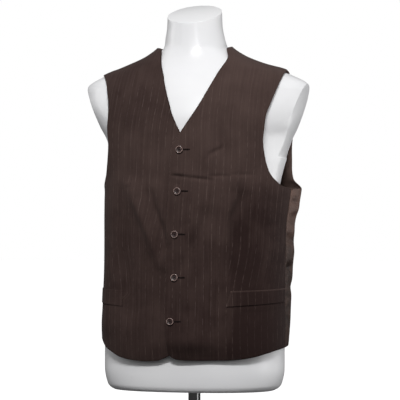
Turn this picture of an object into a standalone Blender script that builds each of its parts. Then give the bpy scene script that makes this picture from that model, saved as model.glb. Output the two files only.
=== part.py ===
"""A tailored waistcoat on a limbless counter-top dress form.

Metres, +Z up. The wearer faces -Y and the wearer's left is +X. The origin is the middle of the
base's underside. The torso and the cloth are both bodies of sections: at each height a section
is a rounded oval, and an angle runs round it from the front middle (0) towards the wearer's
left (90), the back middle (180) and the wearer's right (-90 or 270). Heights in the tables are
above the torso's flat underside.
"""

import math

import bmesh
import bpy
import numpy as np
from mathutils import Matrix, Vector

# Stand
BASE_DIAMETER = 0.300
BASE_THICKNESS = 0.010
BASE_EDGE = 0.003
HUB_DIAMETER = 0.052
HUB_HEIGHT = 0.022
HUB_FOOT = 0.004
HUB_EDGE = 0.003
POLE_DIAMETER = 0.025
TORSO_UNDERSIDE = 0.180

# Torso cuts
NECK_CUT_HEIGHT = 0.768
NECK_CUT_LEAN = 22.0
ARM_CUT_HEIGHT = 0.612
ARM_CUT_LOWEST = 0.474
# each arm's cut: which way it faces, how far out it lies at that height, and its lean in degrees
ARM_CUTS = {"left": (1, 0.2310, 19.6), "right": (-1, 0.2243, 23.5)}
CUTTER_REACH = 0.400

# Cloth
FRONT_WALL = 0.0022
BACK_WALL = 0.0016
WELT_WALL = 0.0020
SEAM_GAP = 0.0004
WELT_GAP = 0.0005
BUTTON_GAP = 0.0005
LAP_GAP = 0.0012
LAP_FULL_ANGLE = 10.0
LAP_FADE_ANGLE = 34.0
SIDE_SEAM = 86.0
LAP_COLUMNS = 2
CUT_BACK_REACH = 26.0
SHOULDER_SEAM = 93.0
HEM_MIDDLE = 0.075
FOLD_RADIUS = 0.150
EASE_LEFT = 104.0
EASE_RIGHT = -113.0
EASE_RIGHT_SHARE = 0.7
EASE_SPREAD = 18.0
TUCK_ANGLE = -84.0
TUCK_SPREAD = 26.0

# Buttons: the profile has shares of the radius and heights, from the back round to the front
BUTTON_DIAMETER = 0.015
BUTTON_HEIGHTS = (0.485, 0.402, 0.316, 0.230, 0.143)
BUTTON_PROFILE = (
    (0.00, 0.0000),
    (0.70, 0.0000),
    (0.94, 0.0009),
    (1.00, 0.0019),
    (0.94, 0.0030),
    (0.84, 0.0034),
    (0.74, 0.0031),
    (0.66, 0.0023),
    (0.00, 0.0022),
)

# How many faces each piece has, across and up
TORSO_SIDES = 36
FRONT_COLUMNS = 23
BACK_COLUMNS = 28
BACK_SHOULDER_COLUMNS = 8
ROWS_ABOVE = 17
TURNED_SIDES = 40
BUTTON_SIDES = 18
SHARP_EDGE_ANGLE = 50.0

# Rows of the faces between the hem and the underarm: shares of the way up to the first level row,
# and the heights of the level rows, the same on fronts and back
HEM_ROWS = (0.00, 0.26, 0.52, 0.76)
ROW_HEIGHTS = (
    0.148, 0.169, 0.190, 0.213, 0.236, 0.259,
    0.282, 0.305, 0.328, 0.350, 0.371, 0.391,
)

# The fronts lap by whole columns, so that the faces of the two layers lie over each other
LAP_ANGLE = SIDE_SEAM * LAP_COLUMNS / (FRONT_COLUMNS - LAP_COLUMNS)
SHOULDER_SHARE = BACK_SHOULDER_COLUMNS / BACK_COLUMNS


class Table:
    """Rows of named columns, read as smooth curves over the first column, with no overshoot."""

    def __init__(self, columns, *rows):
        values = np.array(rows, float).T
        self.columns = dict(zip(columns.split(), values))
        self.key = values[0]

    def __call__(self, column, at):
        key = self.key
        value = self.columns[column]
        step = np.diff(key)
        rise = np.diff(value) / step
        slope = np.zeros(len(key))
        slope[0] = rise[0]
        slope[-1] = rise[-1]
        same = rise[:-1] * rise[1:] > 0
        before = np.where(same, rise[:-1], 1.0)
        after = np.where(same, rise[1:], 1.0)
        first = 2 * step[1:] + step[:-1]
        second = step[1:] + 2 * step[:-1]
        slope[1:-1] = np.where(same, (first + second) / (first / before + second / after), 0.0)
        at = np.clip(np.asarray(at, float), key[0], key[-1])
        i = np.clip(np.searchsorted(key, at, side="right") - 1, 0, len(step) - 1)
        t = (at - key[i]) / step[i]
        s = 1 - t
        ends = value[i] * (1 + 2 * t) * s**2 + value[i + 1] * (1 + 2 * s) * t**2
        return ends + step[i] * (slope[i] * t * s**2 - slope[i + 1] * s * t**2)


# The torso's sections: half width, depth to the front and to the back, how square the oval is,
# how far back its middle lies, and how far that middle lies towards the wearer's left
TORSO = Table(
    "height half_width front back squareness middle aside",
    (0.000, 0.1660, 0.1010, 0.105, 2.3, 0.000, 0.000),
    (0.004, 0.1733, 0.1070, 0.111, 2.3, 0.000, 0.000),
    (0.012, 0.1795, 0.1120, 0.116, 2.3, 0.000, 0.000),
    (0.045, 0.1858, 0.1180, 0.122, 2.3, 0.000, 0.000),
    (0.100, 0.1858, 0.1170, 0.122, 2.3, 0.000, 0.000),
    (0.170, 0.1780, 0.1100, 0.108, 2.3, 0.002, 0.000),
    (0.260, 0.1620, 0.1040, 0.092, 2.3, 0.004, 0.000),
    (0.340, 0.1650, 0.1100, 0.094, 2.3, 0.006, 0.000),
    (0.400, 0.1725, 0.1220, 0.099, 2.3, 0.010, 0.000),
    (0.430, 0.1765, 0.1260, 0.102, 2.25, 0.012, 0.001),
    (0.450, 0.1800, 0.1300, 0.102, 2.3, 0.014, 0.002),
    (0.466, 0.1835, 0.1320, 0.103, 2.3, 0.016, 0.003),
    (0.480, 0.1860, 0.1345, 0.102, 2.25, 0.018, 0.004),
    (0.510, 0.1945, 0.1375, 0.100, 2.15, 0.022, 0.006),
    (0.540, 0.2160, 0.1380, 0.100, 2.1, 0.024, 0.006),
    (0.590, 0.2400, 0.1245, 0.099, 2.0, 0.022, 0.004),
    (0.608, 0.2395, 0.1150, 0.095, 2.0, 0.020, 0.003),
    (0.622, 0.2325, 0.1070, 0.092, 2.0, 0.018, 0.001),
    (0.640, 0.2010, 0.0915, 0.089, 2.0, 0.013, 0.000),
    (0.660, 0.1423, 0.0805, 0.082, 2.0, 0.012, 0.001),
    (0.680, 0.0932, 0.0692, 0.076, 2.0, 0.010, 0.001),
    (0.700, 0.0653, 0.0620, 0.071, 2.0, 0.008, 0.001),
    (0.720, 0.0605, 0.0610, 0.067, 2.0, 0.006, 0.000),
    (0.745, 0.0565, 0.0580, 0.062, 2.0, 0.004, 0.000),
    (0.810, 0.0550, 0.0570, 0.060, 2.0, 0.003, 0.000),
)

# The cloth's outer sections. Ease is how far it bags out under the wearer's left arm, and tuck is
# how far it lies in at the wearer's right side.
CLOTH = Table(
    "height half_width front back squareness middle ease tuck",
    (0.060, 0.1895, 0.1285, 0.1340, 2.5, 0.000, 0.000, 0.0000),
    (0.080, 0.1907, 0.1335, 0.1375, 2.5, 0.000, 0.000, 0.0020),
    (0.100, 0.1919, 0.1364, 0.1397, 2.5, 0.000, 0.001, 0.0035),
    (0.130, 0.1922, 0.1375, 0.1410, 2.5, 0.000, 0.003, 0.0030),
    (0.180, 0.1905, 0.1345, 0.1390, 2.5, 0.000, 0.007, 0.0035),
    (0.260, 0.1890, 0.1320, 0.1350, 2.5, 0.001, 0.013, 0.0045),
    (0.335, 0.1900, 0.1320, 0.1300, 2.45, 0.003, 0.016, 0.0045),
    (0.386, 0.1940, 0.1330, 0.1260, 2.4, 0.005, 0.0228, 0.0080),
    (0.408, 0.1960, 0.1330, 0.1240, 2.35, 0.006, 0.0248, 0.0095),
    (0.430, 0.2000, 0.1330, 0.1210, 2.3, 0.008, 0.008, 0.0090),
    (0.460, 0.2080, 0.1330, 0.1180, 2.25, 0.009, 0.002, 0.0060),
    (0.500, 0.2230, 0.1330, 0.1165, 2.15, 0.010, 0.000, 0.0020),
    (0.540, 0.2420, 0.1315, 0.1165, 2.1, 0.012, 0.000, 0.0000),
    (0.590, 0.2550, 0.1222, 0.1130, 2.0, 0.014, 0.000, 0.0000),
    (0.608, 0.2510, 0.1155, 0.1080, 2.0, 0.014, 0.000, 0.0000),
    (0.625, 0.2345, 0.1080, 0.1020, 2.0, 0.014, 0.000, 0.0000),
    (0.644, 0.2010, 0.0975, 0.0950, 2.0, 0.013, 0.000, 0.0000),
    (0.664, 0.1470, 0.0880, 0.0875, 2.0, 0.012, 0.000, 0.0000),
    (0.684, 0.1005, 0.0780, 0.0810, 2.0, 0.010, 0.000, 0.0000),
    (0.704, 0.0745, 0.0712, 0.0767, 2.0, 0.008, 0.000, 0.0000),
    (0.724, 0.0670, 0.0670, 0.0730, 2.0, 0.006, 0.000, 0.0000),
)

# How far the fronts are turned on the torso, in degrees towards the wearer's left
TURN = Table(
    "height angle",
    (0.060, -5.0),
    (0.143, -5.2),
    (0.230, -2.6),
    (0.316, -2.4),
    (0.402, -0.4),
    (0.485, 1.0),
    (0.520, 1.2),
    (0.556, 2.3),
    (0.581, 3.7),
    (0.606, 4.6),
    (0.632, 5.9),
    (0.656, 7.6),
    (0.682, 11.5),
    (0.700, 12.5),
)

# How far a front edge is cut back from the lap's full width, in degrees
CUT_BACK = Table(
    "height angle",
    (0.060, 6.4),
    (0.075, 6.0),
    (0.093, 5.0),
    (0.143, 3.2),
    (0.190, 1.0),
    (0.250, 0.0),
)

# Folds run from one place on the cloth to another: wide soft troughs (-) and ridges (+)
FOLD_COLUMNS = "from_angle from_height to_angle to_height width depth".split()
FOLDS = (
    # chest crease over the second button, and the swell over it
    (-6.0, 0.436, 22.0, 0.425, 0.0080, -0.0036),
    (-6.0, 0.450, 20.0, 0.442, 0.0110, 0.0010),
    # drag lines that run down to the fourth button from each side
    (-41.0, 0.414, -14.0, 0.254, 0.0150, 0.0045),
    (-25.0, 0.392, -11.0, 0.292, 0.0130, -0.0045),
    (24.0, 0.352, 3.0, 0.247, 0.0160, -0.0040),
    # hollow along the front dart, where the front turns to the side
    (46.0, 0.392, 42.0, 0.240, 0.0210, -0.0050),
    (-46.0, 0.360, -44.0, 0.250, 0.0240, -0.0030),
    # slack below the waist of the wearer's right front
    (-62.0, 0.250, -60.0, 0.130, 0.0200, 0.0030),
    (-48.0, 0.270, -38.0, 0.170, 0.0220, -0.0030),
    # shoulder tips that stand up
    (88.0, 0.654, 98.0, 0.654, 0.0075, 0.0100),
    (-88.0, 0.654, -98.0, 0.654, 0.0065, 0.0050),
    # slump of the satin beside the left side seam
    (93.0, 0.366, 116.0, 0.372, 0.0100, 0.0015),
    (92.0, 0.340, 98.0, 0.338, 0.0100, -0.0030),
    (91.0, 0.310, 99.0, 0.304, 0.0085, -0.0075),
    (92.0, 0.280, 114.0, 0.278, 0.0110, 0.0012),
    (91.0, 0.252, 98.0, 0.248, 0.0080, -0.0065),
    (96.0, 0.212, 112.0, 0.205, 0.0110, -0.0030),
    # the same beside the right side seam
    (-94.0, 0.352, -118.0, 0.344, 0.0110, -0.0055),
    (-96.0, 0.300, -116.0, 0.292, 0.0100, -0.0070),
    (-95.0, 0.246, -112.0, 0.240, 0.0095, -0.0055),
    # hollow of the back: slack across the waist and two long soft folds
    (146.0, 0.318, 212.0, 0.306, 0.0140, -0.0060),
    (152.0, 0.268, 204.0, 0.262, 0.0130, -0.0050),
    (138.0, 0.420, 144.0, 0.300, 0.0160, -0.0050),
    (-140.0, 0.410, -148.0, 0.300, 0.0160, -0.0045),
    (140.0, 0.220, 134.0, 0.120, 0.0180, -0.0040),
    (-136.0, 0.230, -141.0, 0.130, 0.0180, -0.0045),
)

# Height of each front's hem by angle from the front edge to the side seam
HEM = Table(
    "angle left right",
    (-2.2, 0.0765, 0.0800),
    (-1.0, 0.0730, 0.0778),
    (3.0, 0.0672, 0.0740),
    (8.0, 0.0655, 0.0682),
    (14.0, 0.0648, 0.0637),
    (25.0, 0.0648, 0.0622),
    (36.0, 0.0654, 0.0642),
    (45.0, 0.0658, 0.0694),
    (53.0, 0.0678, 0.0795),
    (60.0, 0.0717, 0.0876),
    (67.0, 0.0773, 0.0990),
    (76.0, 0.0835, 0.1065),
    (86.0, 0.0868, 0.1095),
)
BACK_HEM = Table(
    "angle height",
    (86.0, 0.0868),
    (130.0, 0.0950),
    (180.0, 0.1000),
    (230.0, 0.1060),
    (274.0, 0.1095),
)

# The two edges of a front above the underarm: front and V edge, and armhole
FRONT_EDGES = Table(
    "share inner_angle inner_height outer_angle outer_height",
    (0.00, -LAP_ANGLE, 0.412, 86.0, 0.4080),
    (0.10, -LAP_ANGLE, 0.426, 78.5, 0.4125),
    (0.20, -LAP_ANGLE, 0.438, 72.0, 0.4225),
    (0.30, -LAP_ANGLE, 0.458, 66.2, 0.4380),
    (0.40, -7.6, 0.488, 61.4, 0.4700),
    (0.50, 0.2, 0.520, 59.0, 0.5080),
    (0.60, 9.3, 0.557, 58.7, 0.5460),
    (0.70, 18.2, 0.597, 61.3, 0.5830),
    (0.80, 28.9, 0.637, 66.9, 0.6170),
    (0.90, 46.0, 0.6765, 76.5, 0.6395),
    (0.95, 58.5, 0.6955, 84.6, 0.6468),
    (1.00, 93.0, 0.7010, 93.0, 0.6535),
)

# The armhole edge of the back from the side seam to the shoulder tip, on the wearer's left
BACK_ARMHOLE = Table(
    "share angle height",
    (0.00, 86.0, 0.4080),
    (0.06, 95.0, 0.4092),
    (0.12, 102.0, 0.4118),
    (0.16, 104.3, 0.4204),
    (0.21, 105.6, 0.4330),
    (0.31, 106.7, 0.4590),
    (0.45, 109.4, 0.5000),
    (0.60, 111.8, 0.5450),
    (0.75, 110.6, 0.5900),
    (0.88, 105.5, 0.6280),
    (0.95, 99.8, 0.6435),
    (1.00, 93.0, 0.6535),
)
NECK_POINT_HEIGHT = 0.701
SHOULDER_TIP_HEIGHT = 0.6535
BACK_NECK_DIP = 0.004

# Welt pocket: its ends, and the heights of its lower and upper edge at each end
WELT_ANGLES = (42.0, 83.0)
WELT_LOWER = (0.172, 0.180)
WELT_UPPER = (0.2035, 0.2075)
WELT_ENDS_LEAN = 2.0
WELT_BEND_ROW = 2

MATERIALS = {
    # name: colour, roughness, metallic
    "worsted": ((0.045, 0.029, 0.026, 1.0), 0.85, 0.0),
    "satin": ((0.075, 0.048, 0.040, 1.0), 0.35, 0.0),
    "horn": ((0.060, 0.040, 0.036, 1.0), 0.40, 0.0),
    "gloss_white": ((0.85, 0.85, 0.87, 1.0), 0.18, 0.0),
    "chrome": ((0.55, 0.55, 0.56, 1.0), 0.12, 1.0),
    "brushed_steel": ((0.50, 0.50, 0.51, 1.0), 0.30, 1.0),
}


def material(name):
    """The named finish, made once."""
    found = bpy.data.materials.get(name)
    if found:
        return found
    colour, roughness, metallic = MATERIALS[name]
    made = bpy.data.materials.new(name)
    made.use_nodes = True
    shader = made.node_tree.nodes["Principled BSDF"]
    shader.inputs["Base Color"].default_value = colour
    shader.inputs["Roughness"].default_value = roughness
    shader.inputs["Metallic"].default_value = metallic
    made.diffuse_color = colour
    return made


def add_object(name, points, faces, finish):
    """One named object from points and faces, shaded smooth but for its hard edges."""
    mesh = bpy.data.meshes.new(name)
    mesh.from_pydata([tuple(p) for p in points], [], faces)
    shaped = bmesh.new()
    shaped.from_mesh(mesh)
    bmesh.ops.recalc_face_normals(shaped, faces=shaped.faces)
    shaped.to_mesh(mesh)
    shaped.free()
    mesh.shade_smooth()
    mesh.set_sharp_from_angle(angle=math.radians(SHARP_EDGE_ANGLE))
    made = bpy.data.objects.new(name, mesh)
    bpy.context.scene.collection.objects.link(made)
    made.data.materials.append(material(finish))
    return made


# Sections and surfaces

def section_radius(table, angle, height):
    """Distance from the section's middle to its outline."""
    turn = np.radians(angle)
    across = np.abs(np.sin(turn)) / table("half_width", height)
    depth = np.where(np.cos(turn) > 0, table("front", height), table("back", height))
    along = np.abs(np.cos(turn)) / depth
    power = table("squareness", height)
    return (across**power + along**power) ** (-1 / power)


def section_point(table, angle, height, out=0.0):
    """The point of a body of sections at an angle and height, moved out from its middle."""
    turn = np.radians(angle)
    reach = section_radius(table, angle, height) + out
    x = reach * np.sin(turn)
    y = table("middle", height) - reach * np.cos(turn)
    z = np.broadcast_to(height, np.shape(x)) + TORSO_UNDERSIDE
    return np.stack([x, y, z], axis=-1)


def angle_between(angle, other):
    """Signed difference of two angles, from -180 to 180."""
    return (np.asarray(angle) - other + 180.0) % 360.0 - 180.0


def fold_relief(angle, height):
    """How far the folds raise or sink the cloth at each place."""
    relief = 0.0
    for row in FOLDS:
        fold = dict(zip(FOLD_COLUMNS, row))
        start = fold["from_angle"]
        run = math.radians(fold["to_angle"] - start) * FOLD_RADIUS
        if abs(run) > math.pi * FOLD_RADIUS:
            raise ValueError("a fold runs the short way round")
        climb = fold["to_height"] - fold["from_height"]
        x = np.radians(angle_between(angle, start)) * FOLD_RADIUS
        y = height - fold["from_height"]
        share = np.clip((x * run + y * climb) / (run**2 + climb**2), 0.0, 1.0)
        away = np.hypot(x - share * run, y - share * climb)
        relief = relief + fold["depth"] * np.exp(-((away / fold["width"]) ** 2))
    return relief


def side_ease(angle, height):
    """Slack of the cloth under the arms, more on the wearer's left."""
    left = np.exp(-((angle_between(angle, EASE_LEFT) / EASE_SPREAD) ** 2))
    right = np.exp(-((angle_between(angle, EASE_RIGHT) / EASE_SPREAD) ** 2))
    tuck = np.exp(-((angle_between(angle, TUCK_ANGLE) / TUCK_SPREAD) ** 2))
    return CLOTH("ease", height) * (left + EASE_RIGHT_SHARE * right) - CLOTH("tuck", height) * tuck


def smooth_step(value):
    t = np.clip(value, 0.0, 1.0)
    return t * t * (3 - 2 * t)


def front_lap(angle, height):
    """Lift of the left front where it lies over the right front."""
    from_middle = angle_between(angle, TURN("angle", height))
    fade = (LAP_FADE_ANGLE - from_middle) / (LAP_FADE_ANGLE - LAP_FULL_ANGLE)
    return (FRONT_WALL + LAP_GAP) * smooth_step(fade)


def cloth_point(angle, height, lap=False):
    """The outer face of the cloth."""
    out = fold_relief(angle, height) + side_ease(angle, height)
    if lap:
        out = out + front_lap(angle, height)
    return section_point(CLOTH, angle, height, out)


def cloth_normal(angle, height, lap=False, step=0.001):
    """Outward direction of the cloth's outer face."""
    turn = math.degrees(step / FOLD_RADIUS)
    round_way = cloth_point(angle + turn, height, lap) - cloth_point(angle - turn, height, lap)
    up_way = cloth_point(angle, height + step, lap) - cloth_point(angle, height - step, lap)
    out = np.cross(round_way, up_way)
    return out / np.linalg.norm(out, axis=-1, keepdims=True)


# Grids of angles and heights for the three panels

def pair(angle, height):
    return np.stack(np.broadcast_arrays(np.asarray(angle, float), height), axis=-1)


def below_underarm(angle, hem, underarm):
    """Grid from the hem up to the underarm, its rows at the same heights on every panel."""
    lowest = [hem + share * (ROW_HEIGHTS[0] - hem) for share in HEM_ROWS]
    level = [np.full_like(hem, height) for height in ROW_HEIGHTS]
    height = np.stack([*lowest, *level, underarm], axis=1)
    return pair(angle[:, None], height)


def above_underarm(low, high, first, last):
    """Grid filled between its four edges: lower, upper, and its two sides."""
    u = np.linspace(0, 1, len(low))[:, None, None]
    v = np.linspace(0, 1, len(first))[None, :, None]
    low, high = low[:, None], high[:, None]
    corners = (1 - u) * ((1 - v) * low[:1] + v * high[:1]) + u * ((1 - v) * low[-1:] + v * high[-1:])
    return (1 - v) * low + v * high + (1 - u) * first[None] + u * last[None] - corners


def front_angles():
    return np.linspace(-LAP_ANGLE, SIDE_SEAM, FRONT_COLUMNS + 1)


def cut_back(angle, height):
    """How far the columns near the front edge move in where that edge is cut back."""
    fade = np.clip(1 - (angle + LAP_ANGLE) / CUT_BACK_REACH, 0.0, 1.0)
    return CUT_BACK("angle", height) * fade


def front_grid(side):
    """Angles and heights of a front, from its front edge to its side seam and from hem to shoulder."""
    angle = front_angles()
    hem = HEM(side, angle + cut_back(angle, HEM_MIDDLE))
    ends = [FRONT_EDGES(name, 0.0) for name in ("inner_height", "outer_height")]
    lower = below_underarm(angle, hem, np.linspace(*ends, FRONT_COLUMNS + 1))
    share = np.linspace(0, 1, ROWS_ABOVE + 1)
    v_edge = pair(FRONT_EDGES("inner_angle", share), FRONT_EDGES("inner_height", share))
    armhole = pair(FRONT_EDGES("outer_angle", share), FRONT_EDGES("outer_height", share))
    tip = np.linspace(NECK_POINT_HEIGHT, SHOULDER_TIP_HEIGHT, FRONT_COLUMNS + 1)
    upper = above_underarm(lower[:, -1], pair(SHOULDER_SEAM, tip), v_edge, armhole)
    grid = np.concatenate([lower, upper[:, 1:]], axis=1)
    angle, height = grid[..., 0], grid[..., 1]
    angle = angle + cut_back(angle, height)
    if side == "right":
        angle = -angle
    fade = np.clip(1 - (np.abs(angle) / SIDE_SEAM) ** 3, 0.0, 1.0)
    return angle + TURN("angle", height) * fade, height


def shoulders_and_neck(share):
    """The top edge of the back: one shoulder seam, the neckline and the other shoulder seam."""
    from_tip = np.clip(np.minimum(share, 1 - share) / SHOULDER_SHARE, 0.0, 1.0)
    round_neck = np.clip((share - SHOULDER_SHARE) / (1 - 2 * SHOULDER_SHARE), 0.0, 1.0)
    angle = SHOULDER_SEAM + round_neck * (360 - 2 * SHOULDER_SEAM)
    dip = BACK_NECK_DIP * np.sin(math.pi * round_neck)
    height = SHOULDER_TIP_HEIGHT + from_tip * (NECK_POINT_HEIGHT - SHOULDER_TIP_HEIGHT)
    return pair(angle, height - dip)


def back_grid():
    """Angles and heights of the back, from the left side seam round to the right one."""
    share = np.linspace(0, 1, BACK_COLUMNS + 1)
    angle = SIDE_SEAM + share * (360 - 2 * SIDE_SEAM)
    underarm = np.full(len(angle), float(BACK_ARMHOLE("height", 0.0)))
    lower = below_underarm(angle, BACK_HEM("height", angle), underarm)
    rise = np.linspace(0, 1, ROWS_ABOVE + 1)
    left = pair(BACK_ARMHOLE("angle", rise), BACK_ARMHOLE("height", rise))
    right = left * (-1, 1) + (360, 0)
    upper = above_underarm(lower[:, -1], shoulders_and_neck(share), left, right)
    grid = np.concatenate([lower, upper[:, 1:]], axis=1)
    angle, height = grid[..., 0], grid[..., 1]
    # the side and shoulder seams keep their gap to the fronts
    joined = np.zeros(angle.shape)
    joined[0, : lower.shape[1]] = 1
    joined[: BACK_SHOULDER_COLUMNS + 1, -1] = 1
    joined = joined - joined[::-1]
    return angle + joined * np.degrees(SEAM_GAP / section_radius(CLOTH, angle, height)), height


def wall_faces(across, up):
    """Faces of a closed wall: its outer grid, its inner grid and the rim between them."""
    index = np.arange((across + 1) * (up + 1)).reshape(across + 1, up + 1)
    shift = index.size
    faces = []
    for i in range(across):
        for j in range(up):
            quad = [index[i, j], index[i + 1, j], index[i + 1, j + 1], index[i, j + 1]]
            faces.append(quad)
            faces.append([q + shift for q in reversed(quad)])
    rim = list(index[:, 0]) + list(index[-1, 1:]) + list(index[-2::-1, -1]) + list(index[0, -2:0:-1])
    for a, b in zip(rim, rim[1:] + rim[:1]):
        faces.append([b, a, a + shift, b + shift])
    return [[int(k) for k in face] for face in faces]


def add_wall(name, outer, inner, finish):
    """A closed wall between two grids of points."""
    across, up = outer.shape[0] - 1, outer.shape[1] - 1
    points = np.concatenate([outer.reshape(-1, 3), inner.reshape(-1, 3)])
    return add_object(name, points, wall_faces(across, up), finish)


# Pieces

def make_front(side):
    """One front, with its welt pocket on it."""
    angle, height = front_grid(side)
    lap = side == "left"
    outer = cloth_point(angle, height, lap)
    normal = cloth_normal(angle, height, lap)
    add_wall("front_" + side, outer, outer - normal * FRONT_WALL, "worsted")
    make_welt(side, outer, normal)


def on_grid(grid, column, row):
    """Value at a place between a grid's own points, given in columns and rows."""
    i = np.clip(np.floor(column).astype(int), 0, grid.shape[0] - 2)
    j = np.clip(np.floor(row).astype(int), 0, grid.shape[1] - 2)
    s, t = (column - i)[..., None], (row - j)[..., None]
    low = grid[i, j] * (1 - s) + grid[i + 1, j] * s
    high = grid[i, j + 1] * (1 - s) + grid[i + 1, j + 1] * s
    return low * (1 - t) + high * t


def make_welt(side, outer, normal):
    """A welt pocket, made from the front's own points moved out: it bends where the front bends."""
    own = front_angles()
    inside = own[(own > WELT_ANGLES[0] + WELT_ENDS_LEAN) & (own < WELT_ANGLES[1])]
    foot = np.array([WELT_ANGLES[0], *inside, WELT_ANGLES[1]])
    lean = np.zeros(len(foot))
    lean[[0, -1]] = WELT_ENDS_LEAN
    share = (foot - foot[0]) / np.ptp(foot)
    lower = WELT_LOWER[0] + share * (WELT_LOWER[1] - WELT_LOWER[0])
    upper = WELT_UPPER[0] + share * (WELT_UPPER[1] - WELT_UPPER[0])
    bend = np.full(len(foot), ROW_HEIGHTS[WELT_BEND_ROW])
    height = np.stack([lower, bend, upper], axis=1)
    angle = foot[:, None] + lean[:, None] * (height - lower[:, None]) / (upper - lower)[:, None]
    column = np.interp(angle, own, np.arange(len(own)))
    row = np.interp(height, ROW_HEIGHTS, np.arange(len(ROW_HEIGHTS)) + len(HEM_ROWS))
    base, out = on_grid(outer, column, row), on_grid(normal, column, row)
    out = out / np.linalg.norm(out, axis=-1, keepdims=True)
    add_wall("welt_" + side, base + out * (WELT_GAP + WELT_WALL), base + out * WELT_GAP, "worsted")


def make_back():
    angle, height = back_grid()
    outer = cloth_point(angle, height)
    normal = cloth_normal(angle, height)
    add_wall("back", outer, outer - normal * BACK_WALL, "satin")


def turned(name, profile, sides, finish):
    """A round piece from a profile of (radius, height) that starts and ends on the axis."""
    points = [(0.0, 0.0, profile[0][1])]
    for radius, height in profile[1:-1]:
        for k in range(sides):
            turn = 2 * math.pi * k / sides
            points.append((radius * math.cos(turn), radius * math.sin(turn), height))
    points.append((0.0, 0.0, profile[-1][1]))
    rings = len(profile) - 2
    last = len(points) - 1
    faces = []
    for k in range(sides):
        follow = (k + 1) % sides
        faces.append([0, 1 + follow, 1 + k])
        top = 1 + (rings - 1) * sides
        faces.append([last, top + k, top + follow])
        for ring in range(rings - 1):
            a = 1 + ring * sides
            faces.append([a + k, a + follow, a + sides + follow, a + sides + k])
    return add_object(name, points, faces, finish)


def make_buttons():
    """Five buttons with a raised rim, down the middle line of the left front."""
    profile = [(share * BUTTON_DIAMETER / 2, height) for share, height in BUTTON_PROFILE]
    for number, height in enumerate(BUTTON_HEIGHTS, start=1):
        angle = float(TURN("angle", height))
        place = cloth_point(angle, height, True)
        out = Vector(cloth_normal(angle, height, True))
        made = turned("button_%d" % number, profile, BUTTON_SIDES, "horn")
        made.rotation_mode = "QUATERNION"
        made.rotation_quaternion = out.to_track_quat("Z", "Y")
        made.location = Vector(place) + out * BUTTON_GAP


def add_cutter(name, centre, lean, size):
    """A box whose lower face or inner face cuts the torso. It isn't part of the object."""
    made = add_object(name, *box_mesh(size), "gloss_white")
    made.matrix_world = Matrix.Translation(centre) @ Matrix.Rotation(math.radians(lean[0]), 4, lean[1])
    made.hide_render = True
    made.display_type = "WIRE"
    return made


def box_mesh(size):
    """Points and faces of a box from its lowest and highest corners."""
    low, high = size
    points = [(x, y, z) for x in (low[0], high[0]) for y in (low[1], high[1]) for z in (low[2], high[2])]
    faces = [(0, 1, 3, 2), (4, 6, 7, 5), (0, 4, 5, 1), (2, 3, 7, 6), (0, 2, 6, 4), (1, 5, 7, 3)]
    return points, faces


def make_torso():
    """The torso with its neck and arms cut off flat."""
    sides = TORSO_SIDES
    between = (TORSO.key[1:] + TORSO.key[:-1]) / 2
    rounded_edge_rows = 2
    heights = np.sort(np.concatenate([TORSO.key, between[rounded_edge_rows:]]))
    angles = np.arange(sides) * 360.0 / sides
    rings = section_point(TORSO, angles[None, :], heights[:, None])
    rings[..., 0] += TORSO("aside", heights)[:, None]
    points = rings.reshape(-1, 3)
    faces = [list(range(sides))[::-1], [len(points) - sides + k for k in range(sides)]]
    for ring in range(len(heights) - 1):
        for k in range(sides):
            follow = (k + 1) % sides
            a = ring * sides
            faces.append([a + k, a + follow, a + sides + follow, a + sides + k])
    torso = add_object("form_torso", points, faces, "gloss_white")
    reach = CUTTER_REACH
    neck = Vector((0, float(TORSO("middle", NECK_CUT_HEIGHT)), TORSO_UNDERSIDE + NECK_CUT_HEIGHT))
    above = ((-reach, -reach, 0), (reach, reach, reach))
    cutters = [add_cutter("cut_neck", neck, (NECK_CUT_LEAN, "X"), above)]
    for side, (way, out, lean) in ARM_CUTS.items():
        place = Vector((way * out, 0, TORSO_UNDERSIDE + ARM_CUT_HEIGHT))
        low_end = (ARM_CUT_LOWEST - ARM_CUT_HEIGHT) / math.cos(math.radians(lean))
        inner, outer = sorted((0.0, way * reach))
        size = ((inner, -reach, low_end), (outer, reach, reach))
        cutters.append(add_cutter("cut_arm_" + side, place, (way * lean, "Y"), size))
    for cutter in cutters:
        cut = torso.modifiers.new(cutter.name, "BOOLEAN")
        cut.operation = "DIFFERENCE"
        cut.object = cutter


def make_stand():
    """A round weighted base with a low hub, and the pole that the torso stands on."""
    radius = BASE_DIAMETER / 2
    hub = HUB_DIAMETER / 2
    pole = POLE_DIAMETER / 2
    turned(
        "base",
        [
            (0.0, 0.0),
            (radius, 0.0),
            (radius, BASE_THICKNESS - BASE_EDGE),
            (radius - 0.3 * BASE_EDGE, BASE_THICKNESS - 0.3 * BASE_EDGE),
            (radius - BASE_EDGE, BASE_THICKNESS),
            (hub + HUB_FOOT, BASE_THICKNESS + 0.3 * HUB_FOOT),
            (hub, BASE_THICKNESS + HUB_FOOT),
            (hub, HUB_HEIGHT - HUB_EDGE),
            (hub - 0.3 * HUB_EDGE, HUB_HEIGHT - 0.3 * HUB_EDGE),
            (hub - HUB_EDGE, HUB_HEIGHT),
            (0.0, HUB_HEIGHT),
        ],
        TURNED_SIDES,
        "brushed_steel",
    )
    foot = HUB_HEIGHT + SEAM_GAP
    head = TORSO_UNDERSIDE - SEAM_GAP
    turned("pole", [(0.0, foot), (pole, foot), (pole, head), (0.0, head)], TURNED_SIDES // 2, "chrome")


def main():
    for found in list(bpy.data.objects):
        bpy.data.objects.remove(found, do_unlink=True)
    make_torso()
    make_stand()
    for side in ("left", "right"):
        make_front(side)
    make_back()
    make_buttons()


main()
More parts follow.
